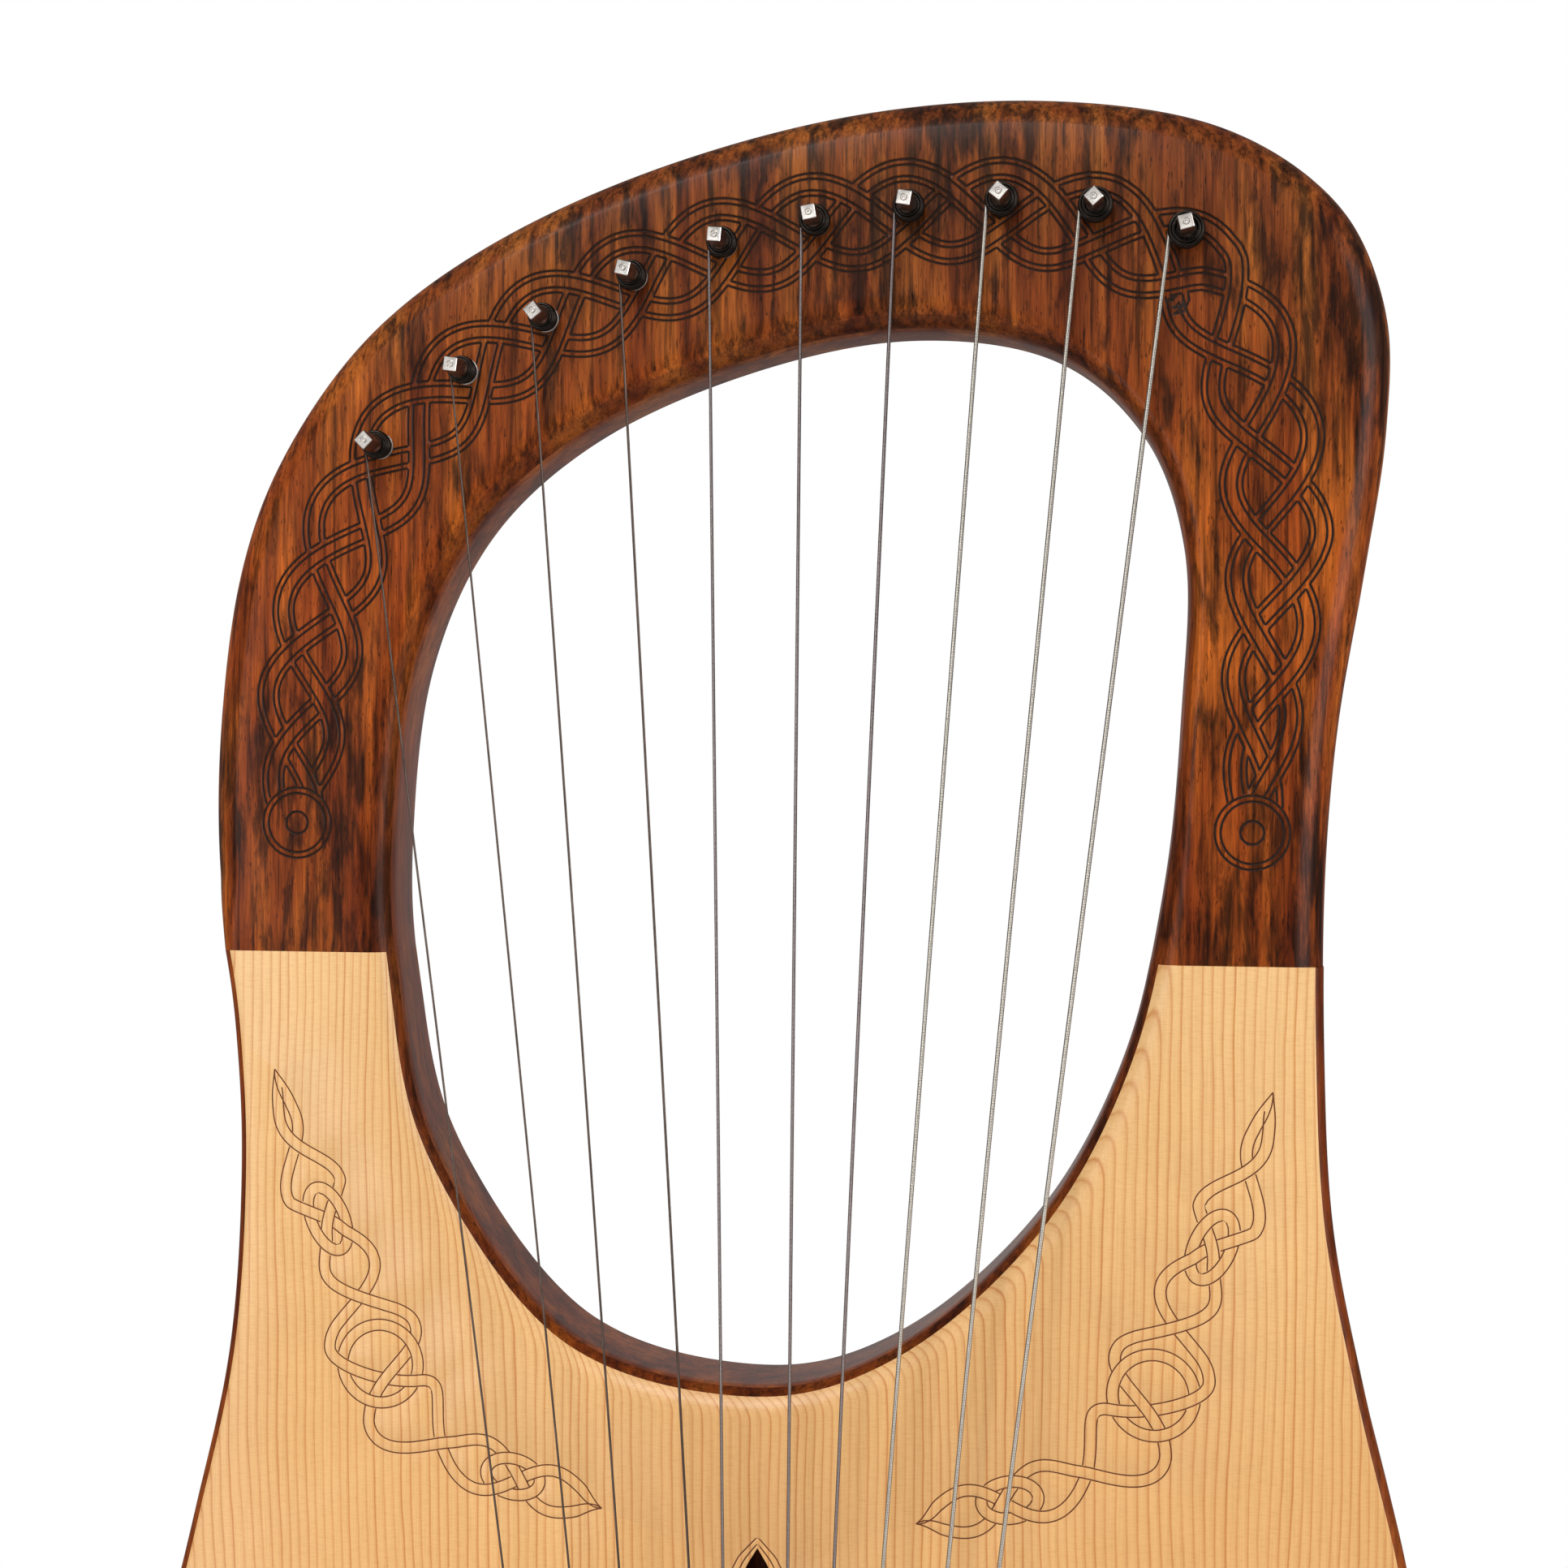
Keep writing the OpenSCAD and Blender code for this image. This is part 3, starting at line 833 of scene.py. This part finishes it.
def string_points():
    """For each string: its bend at the bridge, its bend at the rail, and its lower end."""
    result = []
    saddle_low, _ = node_box("saddle")
    rail_low, rail_high = node_box("tail_rail")
    bend_z = saddle_low[2] - 0.8
    for i, d in enumerate(STRING_D):
        verts = node_points(f"string_{i + 1:02d}")
        near = verts[np.abs(verts[:, 2] - bend_z) < 0.3]
        bend = ((near[:, 0].min() + near[:, 0].max()) / 2, saddle_low[1] - d / 2, bend_z)
        foot = verts[verts[:, 2] < rail_low[2] + 0.1]
        tail = (foot[:, 0].mean(), foot[:, 1].mean(), rail_high[2])
        result.append((np.array(bend), np.array(tail), rail_low[2]))
    return result


STRINGS = string_points()


# ---- plait on the yoke

def yoke_middle():
    """Points midway between the two roundings of the yoke's front, from the left arm over the arch to
    the right one. The third value is half the width of the flat wood there."""
    opening, outwards = part_of(OPENING, OPENING_OUT, above=True)
    outer, _ = part_of(OUTER, OUTER_IN, above=True)
    near = OPENING_EDGE[0]
    far = np.array([np.linalg.norm(outer - p, axis=1).min() for p in opening]) - OUTER_EDGE[0]
    middle = opening + outwards * ((near + far) / 2)[:, None]
    return resampled(np.column_stack([middle, (far - near) / 2]), 1.0)


def yoke_strands():
    """A plain three-strand plait along the yoke, one turn to three pins, narrower towards its ends.
    Returns the strands and the two ends of the plait's middle line."""
    path = yoke_middle()
    path = path[path[:, 1] > JOINT_Z + RING_ABOVE]
    middle, half = path[:, :2], path[:, 2]
    side = left_normals(middle)
    steps = np.arange(len(path))
    at_pins = [np.linalg.norm(middle - pin, axis=1).argmin() for pin in PINS]
    pitch, start = np.polyfit(np.arange(len(PINS)), at_pins, 1)
    turns = (steps - start) / pitch / 3
    narrower = 0.45 + 0.55 * np.sin(math.pi / 2 * np.clip(np.minimum(steps, steps[::-1]) / 45, 0, 1))
    swing = np.minimum(PLAIT_SWING, half - STRAND_OUTER - 1) * narrower
    strands = [middle + side * (swing * np.cos(2 * math.pi * (turns - k / 3)))[:, None] for k in range(3)]
    return strands, (middle[0], middle[-1])


def yoke_lines():
    strands, ends = yoke_strands()
    lines = strand_lines(strands, (STRAND_OUTER, STRAND_INNER, -STRAND_INNER, -STRAND_OUTER), STRAND_OUTER,
                         step=0.35, edge=STRAND_INNER)
    for cx, cz in ends:
        lines = outside_shape(lines, circle(cx, cz, RING_RADII[0] + 0.4))
        lines += [ellipse(cx, cz, radius, radius) for radius in RING_RADII]
    for x, z in PINS:
        lines = outside_shape(lines, circle(x, z, CLEAR_ROUND_PIN))
    return lines


# ---- burned ribbons on the soundboard

def board_lines():
    """A two-ribbon twist with a round knot in it on each side, made for this harp."""
    path = spline([(-133, 332), (-127, 312), (-120, 296), (-112, 280), (-106, 262), (-99, 244),
                   (-84, 231), (-62, 223), (-42, 217)], 60, closed=False)
    path = resampled(path, 0.5)
    s = np.linspace(0, 1, len(path))
    width = np.interp(s, [0, 0.07, 0.22, 0.30, 0.45, 0.60, 0.72, 0.86, 0.96, 1],
                      [0, 2, 8.5, 4.5, 12.5, 12.5, 6, 7.5, 4, 0])
    swing = width * np.sin(2 * math.pi * (3.5 * s ** 0.96))
    taper = -RIBBON * (1 - np.clip(np.minimum(s, 1 - s) / 0.05, 0, 1)) ** 2
    ribbons = [np.column_stack([path + left_normals(path) * (sign * swing)[:, None], taper]) for sign in (1, -1)]
    knots = [ellipse(*path[int(share * len(path))], *shape, count=count) for share, shape, count in (
        (0.53, (10.5, 10.5), 120), (0.27, (4.6, 9.0, 0.42), 90), (0.84, (7.5, 4.8, -0.2), 90))]
    left = strand_lines(ribbons + knots, (RIBBON, -RIBBON), RIBBON, step=0.5)
    return left + [line * (-1, 1) for line in left]


def rose_lines(holes):
    """Two burned lines round each lobe of the rose."""
    lines = []
    for loop in holes:
        x, z = loop[:, 0], loop[:, 1]
        if np.sum(x * np.roll(z, -1) - z * np.roll(x, -1)) <= 0:
            loop = loop[::-1]
        for distance in (1.3, 3.0):
            grown = loop - left_normals(loop, closed=True) * distance
            lines.append(resampled(np.vstack([grown, grown[:1]]), 0.8))
    return lines


# ---- wooden body

def edge_slots(obj, flat, edge, wall, applies=lambda polygon: True):
    """Gives an opening's front, rounding and wall their slots, by how much they face the front. The rounding's slot
    holds a darker copy of the wood, which is painted shade.
    """
    for polygon in obj.data.polygons:
        if applies(polygon):
            slope = abs(polygon.normal.y)
            polygon.material_index = wall if slope < WALL_SLOPE else edge if slope < EDGE_SLOPE else flat


def build_yoke():
    outline, inward, on_opening = plate_outline(above=True)
    plate = Plate(outline, inward)
    change = np.where(outline[:, 0] < 0, np.clip((outline[:, 1] - JOINT_Z) / 20, 0, 1), 1)
    edge = [box + (outer - box) * change for box, outer in zip(BOX_EDGE, OUTER_EDGE)]
    slimmer = np.clip((outline[:, 0] - 40) / 50, 0, 1) * np.clip((outline[:, 1] - JOINT_Z) / 50, 0, 1)
    opening_edge = (OPENING_EDGE[0] - RIGHT_ARM_SLIMMER * slimmer, *OPENING_EDGE[1:])
    reach, depth, start = (by_side(on_opening, edge[k], opening_edge[k]) for k in (0, 1, 2))
    crest = by_side(on_opening, CREST[1] * change, 0.0)
    boundary = plate.ring(reach + by_side(on_opening, CREST[0], 0.3), FRONT_Y)
    for inset, down in rounding(reach, depth - crest, start):
        plate.ring(inset, FRONT_Y + crest + down)
    back_round = np.full(len(outline), BACK_ROUND)
    for inset, down in rounding(back_round, back_round)[::-1]:
        back = plate.ring(inset, YOKE_BACK - down)
    holes = [circle(x, z, PIN_R + 0.3) for x, z in PINS]
    for hole in holes:
        first = plate.tunnel(hole, FRONT_Y, FRONT_Y + 8)
        plate.faces.append(tuple(range(first, first + len(hole))))
        plate.slots.append(1)
    plate.cap(boundary, holes, FRONT_Y, yoke_lines(), *YOKE_GROOVE)
    plate.cap(back, [], YOKE_BACK)
    obj = piece("yoke_wood", plate.shape, [ROSEWOOD, GROOVE, ROSEWOOD_SIDE, ROSEWOOD_PAINTED_SHADE_EDGE, ROSEWOOD_WALL],
                "root", "rosewood", "yoke", slots=plate.slots, sharp=20)
    middle = Vector((0, 0, 0.42))
    behind = [p for p in obj.data.polygons if p.material_index == 0 and p.center.y > (FRONT_Y + 1.2) * MM]
    inner = {p.index for p in behind if p.normal.dot(middle - p.center) > 0}
    edge_slots(obj, 0, 3, 4, lambda polygon: polygon.index in inner)
    for polygon in behind:
        if polygon.index not in inner and abs(polygon.normal.y) < 0.45:
            polygon.material_index = 2


def build_soundboard():
    outline, inward, on_opening = plate_outline(above=False)
    plate = Plate(outline, inward)
    end = by_side(on_opening, BOARD_INSET, COLLAR_INSET)
    reach, depth, start = (by_side(on_opening, BOX_EDGE[k], OPENING_EDGE[k]) for k in (0, 1, 2))
    rings = []
    for t in np.linspace(0, 1, 6):
        inset = reach + (end - reach) * t
        rings.append(plate.ring(inset, FRONT_Y + depth_at(inset, reach, depth, start)))
    back_y = FRONT_Y + BOARD_T
    rings.append(plate.ring(end, back_y))
    holes = [loop for loop in face_loops("soundboard", Vector((0, -1, 0)))[1:] if np.ptp(loop[:, 0]) > 5]
    for hole in holes:
        plate.tunnel(hole, FRONT_Y, back_y)
    plate.cap(rings[0], holes, FRONT_Y, board_lines() + rose_lines(holes), *BURNED_LINE)
    plate.cap(rings[-1], holes, back_y)
    piece("soundboard_wood", plate.shape, [SPRUCE, LINE], "root", "spruce_top", "soundboard", slots=plate.slots)


def build_back():
    outline, inward, _ = plate_outline(above=False)
    plate = Plate(outline, inward)
    back_round = np.full(len(outline), BACK_ROUND)
    rings = [plate.ring(inset, back_depth(plate.inset(inset)[:, 1]) - down)
             for inset, down in rounding(back_round, back_round)[::-1]]
    plate.cap(rings[0], [], lambda z: float(back_depth(z)) - BACK_T)
    plate.cap(rings[-1], [], lambda z: float(back_depth(z)))
    piece("back_plate_wood", plate.shape, [ROSEWOOD_BACK], "root", "rosewood", "back_plate", slots=plate.slots)


def build_band(name, points, inward, edge, board_inset, node, materials, x_range=(-999, 999)):
    """Wall of the box: its outer face runs on from the soundboard's edge down to the back plate."""
    keep = (points[:, 0] >= x_range[0] - 0.01) & (points[:, 0] <= x_range[1] + 0.01)
    points, inward = points[keep], level_at_joint(points[keep], inward[keep])
    insets = board_inset * (1 - np.sin(np.linspace(0, math.pi / 2, ROUND_STEPS)))
    profile = [(inset, float(depth_at(inset, *edge)), False) for inset in insets]
    profile += [(0.0, BACK_T, True), (WALL_T, BACK_T, True), (WALL_T, BOARD_T, False), (board_inset, BOARD_T, False)]
    rings = []
    for p, n in zip(points, inward):
        ring = []
        for inset, down, from_back in profile:
            q = p + n * inset
            ring.append((q[0], float(back_depth(q[1])) - down if from_back else FRONT_Y + down, q[1]))
        rings.append(ring)
    obj = piece(name, lathe(rings), materials, "root", "rosewood", node)
    if len(materials) > 1:
        edge_slots(obj, 0, 1, 2)


def build_box_walls():
    outer, outer_in = part_of(OUTER, OUTER_IN, above=False)
    bottom = node_box("bottom_rib")
    left, right = bottom[0][0], bottom[1][0]
    outer, outer_in = with_points_at(outer, outer_in, (left, right))
    for name, node, material, x_range in (
            ("left_rib_wood", "left_side_rib", ROSEWOOD_SIDE, (-999, left)),
            ("bottom_rib_wood", "bottom_rib", ROSEWOOD_DARK, (left, right)),
            ("right_rib_wood", "right_side_rib", ROSEWOOD_SIDE, (right, 999))):
        build_band(name, outer, outer_in, BOX_EDGE, BOARD_INSET, node, [material], x_range)
    opening, opening_out = part_of(OPENING, OPENING_OUT, above=False)
    build_band("opening_collar_wood", opening, opening_out, OPENING_EDGE, COLLAR_INSET, "opening_collar",
               [ROSEWOOD_SIDE, ROSEWOOD_PAINTED_SHADE_EDGE, ROSEWOOD_WALL])


def with_points_at(points, normals, xs):
    """Adds points to an arc's flat foot where the ribs meet."""
    for x in xs:
        for i in range(len(points) - 1):
            a, b = points[i], points[i + 1]
            if a[1] < 0.5 and b[1] < 0.5 and a[0] < x < b[0]:
                t = (x - a[0]) / (b[0] - a[0])
                points = np.insert(points, i + 1, a + (b - a) * t, axis=0)
                normals = np.insert(normals, i + 1, (0.0, 1.0), axis=0)
                break
    return points, normals


# ---- bridge, saddle, rail

def loft_x(sections):
    """Closed solid through cross-sections (x, [(y, z), ...])."""
    return lathe([[(x, y, z) for y, z in section] for x, section in sections])


def build_bridge():
    (x0, y0, z0), (x1, y1, z1) = node_box("bridge")
    mid = (z0 + z1) / 2
    sections = []
    for t in np.concatenate([np.linspace(0, 0.1, 9), np.linspace(0.12, 0.88, 20), np.linspace(0.9, 1, 9)]):
        end = min(t, 1 - t) / 0.1
        rise = 1.0 if end >= 1 else 0.42 + 0.58 * math.sin(end * math.pi / 2) ** 1.2
        trim = 1.0 if end >= 0.45 else 0.62 + 0.38 * math.sqrt(max(0.0, 1 - (1 - end / 0.45) ** 2))
        top, foot, h = 3.2 * trim, (z1 - z0) / 2 * trim, (y1 - y0) * rise
        half = [(y1, foot), (y1 - 1.4, foot), (y1 - h * 0.55, top + 1.4), (y1 - h, top)]
        corners = [(y, mid - z) for y, z in half] + [(y, mid + z) for y, z in half[::-1]]
        sections.append((x0 + (x1 - x0) * t, rounded(corners, [0.01, 0.4, 3.5, 0.9, 0.9, 3.5, 0.4, 0.01])))
    piece("bridge_wood", loft_x(sections), [ROSEWOOD_DARK], "root", "rosewood", "bridge")

    (x0, y0, z0), (x1, y1, z1) = node_box("saddle")
    sections = []
    for x in np.linspace(x0, x1, 240):
        drop = 0.9 * max(0.0, 1 - min(x - x0, x1 - x) / 1.2) ** 2
        notch = sum(0.16 * max(0.0, 1 - abs(x - bend[0]) / 0.7) for bend, _, _ in STRINGS)
        top = y0 + drop + notch
        sections.append((x, rounded([(y1, z0), (top, z0), (top, z1), (y1, z1)], [0.01, 1.2, 1.2, 0.01], 5)))
    piece("saddle_bone", loft_x(sections), [BONE], "root", "bone", "saddle")


def build_rail():
    (x0, y0, z0), (x1, y1, z1) = node_box("tail_rail")
    stops = [(x0 + 3.5 * (1 - math.cos(a)), 3.5 * (1 - math.sin(a))) for a in np.linspace(0, math.pi / 2, 16)]
    stops += [(x1 - (x - x0), inset) for x, inset in stops[::-1]]
    sections = []
    for x, inset in stops:
        low, high, front = z0 + inset * 0.8, z1 - inset * 0.8, y0 + inset * 0.4
        corners = [(y1, low), (front, low), (front, high), (y1, high)]
        sections.append((x, rounded(corners, [0.01, 2.2, 2.2, 0.01], 6)))
    piece("tail_rail_wood", loft_x(sections), [ROSEWOOD_DARK], "root", "rosewood", "tail_rail")

    eyelet = [(1.5, -1.0), (1.5, 0.1), (1.35, 0.30), (1.0, 0.34), (0.75, 0.05), (0.7, -2.0)]
    piece("string_eyelets", turned_at_tails(z1, eyelet), [BRASS], "root", "brass")

    low, high = node_box("rail_screws")
    middles = (low[0] + 2.8, (low[0] + high[0]) / 2, high[0] - 2.8)
    screws = [screw(x, (z0 + z1) / 2, low[1], 2.8, high[1]) for x in middles]
    piece("rail_screws_brass", joined(screws), [BRASS], "root", "brass", "rail_screws")

    ball = [(0.55, 0.5), (0.7, 0.02), (1.6, 0.0), (2.2, 0.0), (2.2, 0.35), (1.95, 0.6), (1.5, 0.8), (1.35, 1.75),
            (1.5, 2.7), (1.95, 2.9), (2.2, 3.15), (2.2, 3.5)]
    balls = turned_at_tails(node_box("string_ball_ends")[0][2], ball)
    piece("ball_ends_brass", balls, [BRASS], "root", "brass", "string_ball_ends")


def turned_at_tails(z, profile):
    """The same turned shape at the lower end of each string, from (radius, height) over z."""
    return joined([lathe([circle_z(tail[0], tail[1], z + up, r) for r, up in profile]) for _, tail, _ in STRINGS])


def screw(x, z, y, radius, end_y):
    """Domed screw with a straight slot, its thread hidden in the wood."""
    slot, depth, steps, lean, count = 0.45, 0.7, 6, 0.5, 48
    rings = []
    for k in range(steps + 1):
        r = radius * (k / steps) if k else 0.3
        ring = []
        for a in angles(count):
            px, pz = r * math.cos(a), r * math.sin(a)
            cut = depth if abs(px * math.cos(lean) + pz * math.sin(lean)) < slot else 0.0
            ring.append((x + px, y + 0.45 * (r / radius) ** 2 + cut, z + pz))
        rings.append(ring)
    rings += [circle_y(x, z, at, r, count) for at, r in (
        (y + 1.0, radius), (y + 2.4, 1.5), (end_y - 1, 1.5), (end_y, 0.3))]
    return lathe(rings)


# ---- strings, coils, pins

def coil_radius(i):
    """Distance from a pin's axis to the string that leaves it, which is the outer layer of its coil."""
    low, high = node_box(f"string_coil_{i + 1:02d}")
    return (high[0] - low[0]) / 2 + STRING_D[i] / 2 + 0.1


def build_string(i):
    bend, tail, low_z = STRINGS[i]
    to_pin = PINS[i] - (bend[0], bend[2])
    reach, off = np.linalg.norm(to_pin), coil_radius(i)
    turn = math.atan2(to_pin[1], to_pin[0]) + math.asin(off / reach)
    run = math.sqrt(reach * reach - off * off)
    top = np.array([bend[0] + run * math.cos(turn), FRONT_Y - STRING_OUT, bend[2] + run * math.sin(turn)])
    path = rounded([top, bend, tail, (tail[0], tail[1], low_z)], 1.0, 5, closed=False)
    wire = PLAIN_WIRE if i < 4 else WOUND_WIRE if i > 6 else WOUND_THIN
    piece(f"string_wire_{i + 1:02d}", tube(path, STRING_D[i] / 2, 14), [wire],
          "root", "plain_string" if i < 4 else "wound_string", f"string_{i + 1:02d}")


def build_coil(i):
    """Two layers of touching turns, the outer one a little fuller in its middle."""
    node = f"string_coil_{i + 1:02d}"
    (_, y0, _), (_, y1, _) = node_box(node)
    x, z = PINS[i]
    d = min(STRING_D[i], 0.85)
    outer = coil_radius(i) + STRING_D[i] / 2 - d / 2
    turns = int((y1 - y0) / (d * 1.01))
    parts = []
    for k in range(turns):
        t = k / (turns - 1)
        y = y0 + d / 2 + t * (y1 - y0 - d)
        swell = 0.30 * (1 - (2 * t - 0.9) ** 2) - 0.30
        for radius in (outer + swell, outer + swell - 0.9 * d):
            parts.append(tube(circle_y(x, z, y, radius, 44), d / 2, 10, closed=True))
    piece(f"wire_coil_{i + 1:02d}", joined(parts), [COIL_DARK], PIN_BODIES[i], "coil_wire", node, sharp=60)


def build_highlight_ring(i):
    """Thin flanged pale ring round a pin, sunk a little into the yoke, which stands in for the highlight on the pin's
    bare shaft: a painted highlight.
    """
    profile = [(2.62, 0.6), (2.62, -0.28), (2.75, -0.40), (3.25, -0.40), (3.48, -0.30), (3.58, -0.12), (3.58, 0.35)]
    rings = [circle_y(*PINS[i], FRONT_Y + y, r, 56) for r, y in profile]
    piece(f"pin_highlight_ring_{i + 1:02d}", lathe(rings), [HIGHLIGHT_RING], "root", "nickel_steel")


def build_pin(i):
    """Zither pin: turned shaft with a fine thread, a square head with soft edges and a centre mark."""
    node = f"tuning_pin_{i + 1:02d}"
    x, z = PINS[i]
    verts = node_points(node)
    corner = verts[verts[:, 1] < HEAD_Y + 0.1][0]
    turn = math.atan2(corner[2] - z, corner[0] - x) + math.pi / 4
    h = np.linalg.norm(corner[[0, 2]] - (x, z)) * math.sqrt(2) / 2
    deep = node_box(node)[1][1]

    def section(y, half, round_r):
        """Square of a half width with its corners cut to a radius."""
        ring = []
        for a in angles(64):
            r = min(half / max(abs(math.cos(a - turn)), abs(math.sin(a - turn))), round_r)
            ring.append((x + r * math.cos(a), y, z + r * math.sin(a)))
        return ring

    shaft = 9                       # wider than the shaft, which leaves its round
    mark = [(0.26, 0.05), (0.22, 0.18), (0.02, 0.34), (0.02, 0.64), (0.22, 0.80), (0.02, 0.98)]
    head = [(0, h - 0.22, 2.28), (0.10, h - 0.08, 2.44), (0.28, h, 2.54), (6.8, h, 2.54), (7.5, h + 0.15, 2.52),
            (8.0, h + 0.42, 2.47), (8.4, h + 0.9, 2.48)]
    rings = [section(HEAD_Y + y, half, half) for y, half in mark]
    rings += [section(HEAD_Y + y, half, r) for y, half, r in head]
    rings.append(section(FRONT_Y - 6.3, shaft, PIN_R - 0.02))
    y = FRONT_Y - 6.0
    while y < FRONT_Y + 1.0:
        rings += [section(y, shaft, PIN_R - 0.02), section(y + 0.22, shaft, PIN_R - 0.17)]
        y += 0.44
    rings += [section(deep - 1.2, shaft, PIN_R - 0.02), section(deep - 0.2, shaft, PIN_R - 0.6)]
    obj = piece(f"zither_pin_{i + 1:02d}", lathe(rings), [NICKEL, PIN_SIDE_PAINTED_SHADE], PIN_BODIES[i], "nickel_steel", node,
                sharp=28)
    # The head's sides, its centre mark and the shaft under the coil take the darker nickel: painted shade.
    for polygon in obj.data.polygons:
        if (HEAD_Y + 0.3) * MM < polygon.center.y < (FRONT_Y - 6.1) * MM:
            polygon.material_index = 1


# ---- stage and camera

def build_stage():
    floor_z, radius, count = -0.6, 600, 96
    verts = [(0.0, 0.0, floor_z), *circle_z(0, 0, floor_z, radius, count)]
    faces = [(0, 1 + k, 1 + (k + 1) % count) for k in range(count)]
    s = shading("floor_paper")
    tone = s.ramp(s.noise((0.01, 0.01, 0.01), 3, 0.5), (0.3, 0.80), (0.7, 0.84))
    paper = s.finished({"Base Color": tone, "Roughness": 0.9})
    new_object("floor", (verts, faces), [paper], smooth=False)


def area_light(name, place, size, watts):
    light = bpy.data.lights.new(name, "AREA")
    light.shape = "RECTANGLE"
    light.size, light.size_y = size
    light.energy = watts
    obj = placed(name, light)
    obj.location = place
    obj.rotation_euler = (Vector((0, 0, 0.40)) - Vector(place)).to_track_quat("-Z", "Y").to_euler()


def build_lights():
    """White backdrop, with dimmer soft light all round and three soft boxes in front."""
    bpy.context.scene.view_settings.view_transform = "Standard"
    world = bpy.data.worlds.new("studio")
    bpy.context.scene.world = world
    s = Shading(world)
    camera_ray = s.node("LightPath", "Is Camera Ray", {})
    strength = s.maths("MULTIPLY_ADD", camera_ray, 1 - AROUND, AROUND)
    s.fill(s.nodes["Background"], {"Color": (1, 1, 1), "Strength": strength})
    area_light("key", (-0.35, -1.25, 1.45), (1.0, 0.7), 24)
    area_light("fill", (1.20, -0.75, 0.65), (0.6, 1.0), 14)
    area_light("low", (-0.90, -1.10, 0.15), (0.6, 0.9), 7)


def build_camera():
    yaw, rise, roll, distance = math.radians(9.05), math.radians(0.8), math.radians(0.2), 0.700
    away = Vector((math.sin(yaw) * math.cos(rise), -math.cos(yaw) * math.cos(rise), math.sin(rise)))
    level = Vector((math.cos(yaw), math.sin(yaw), 0))
    upright = away.cross(level)
    right = level * math.cos(roll) + upright * math.sin(roll)
    up = upright * math.cos(roll) - level * math.sin(roll)
    aim = Vector((0.0064, FRONT_Y * MM, 0.410))
    camera = bpy.data.cameras.new("camera")
    camera.sensor_width, camera.lens = 36, 61.3
    camera.clip_start, camera.clip_end = 0.02, 20
    obj = placed("camera", camera)
    obj.matrix_world = Matrix.Translation(aim + away * distance) @ Matrix((right, up, away)).transposed().to_4x4()
    bpy.context.scene.camera = obj


def keep_cad(material, *nodes):
    """Gives CAD nodes that keep their own mesh a finished material."""
    for node in nodes:
        mesh = NODES[node].data
        mesh.materials.clear()
        mesh.materials.append(material)


build_camera()
build_yoke()
build_soundboard()
build_box_walls()
build_back()
build_bridge()
build_rail()
for index in range(len(PINS)):
    build_pin(index)
    build_highlight_ring(index)
    build_coil(index)
    build_string(index)
keep_cad(RAW_SPRUCE, "end_block", "upper_brace", "lower_brace", "back_brace_upper", "back_brace_lower",
         "front_linings", "back_linings")
keep_cad(ROSEWOOD_DARK, "bridge_patch")
build_stage()
build_lights()
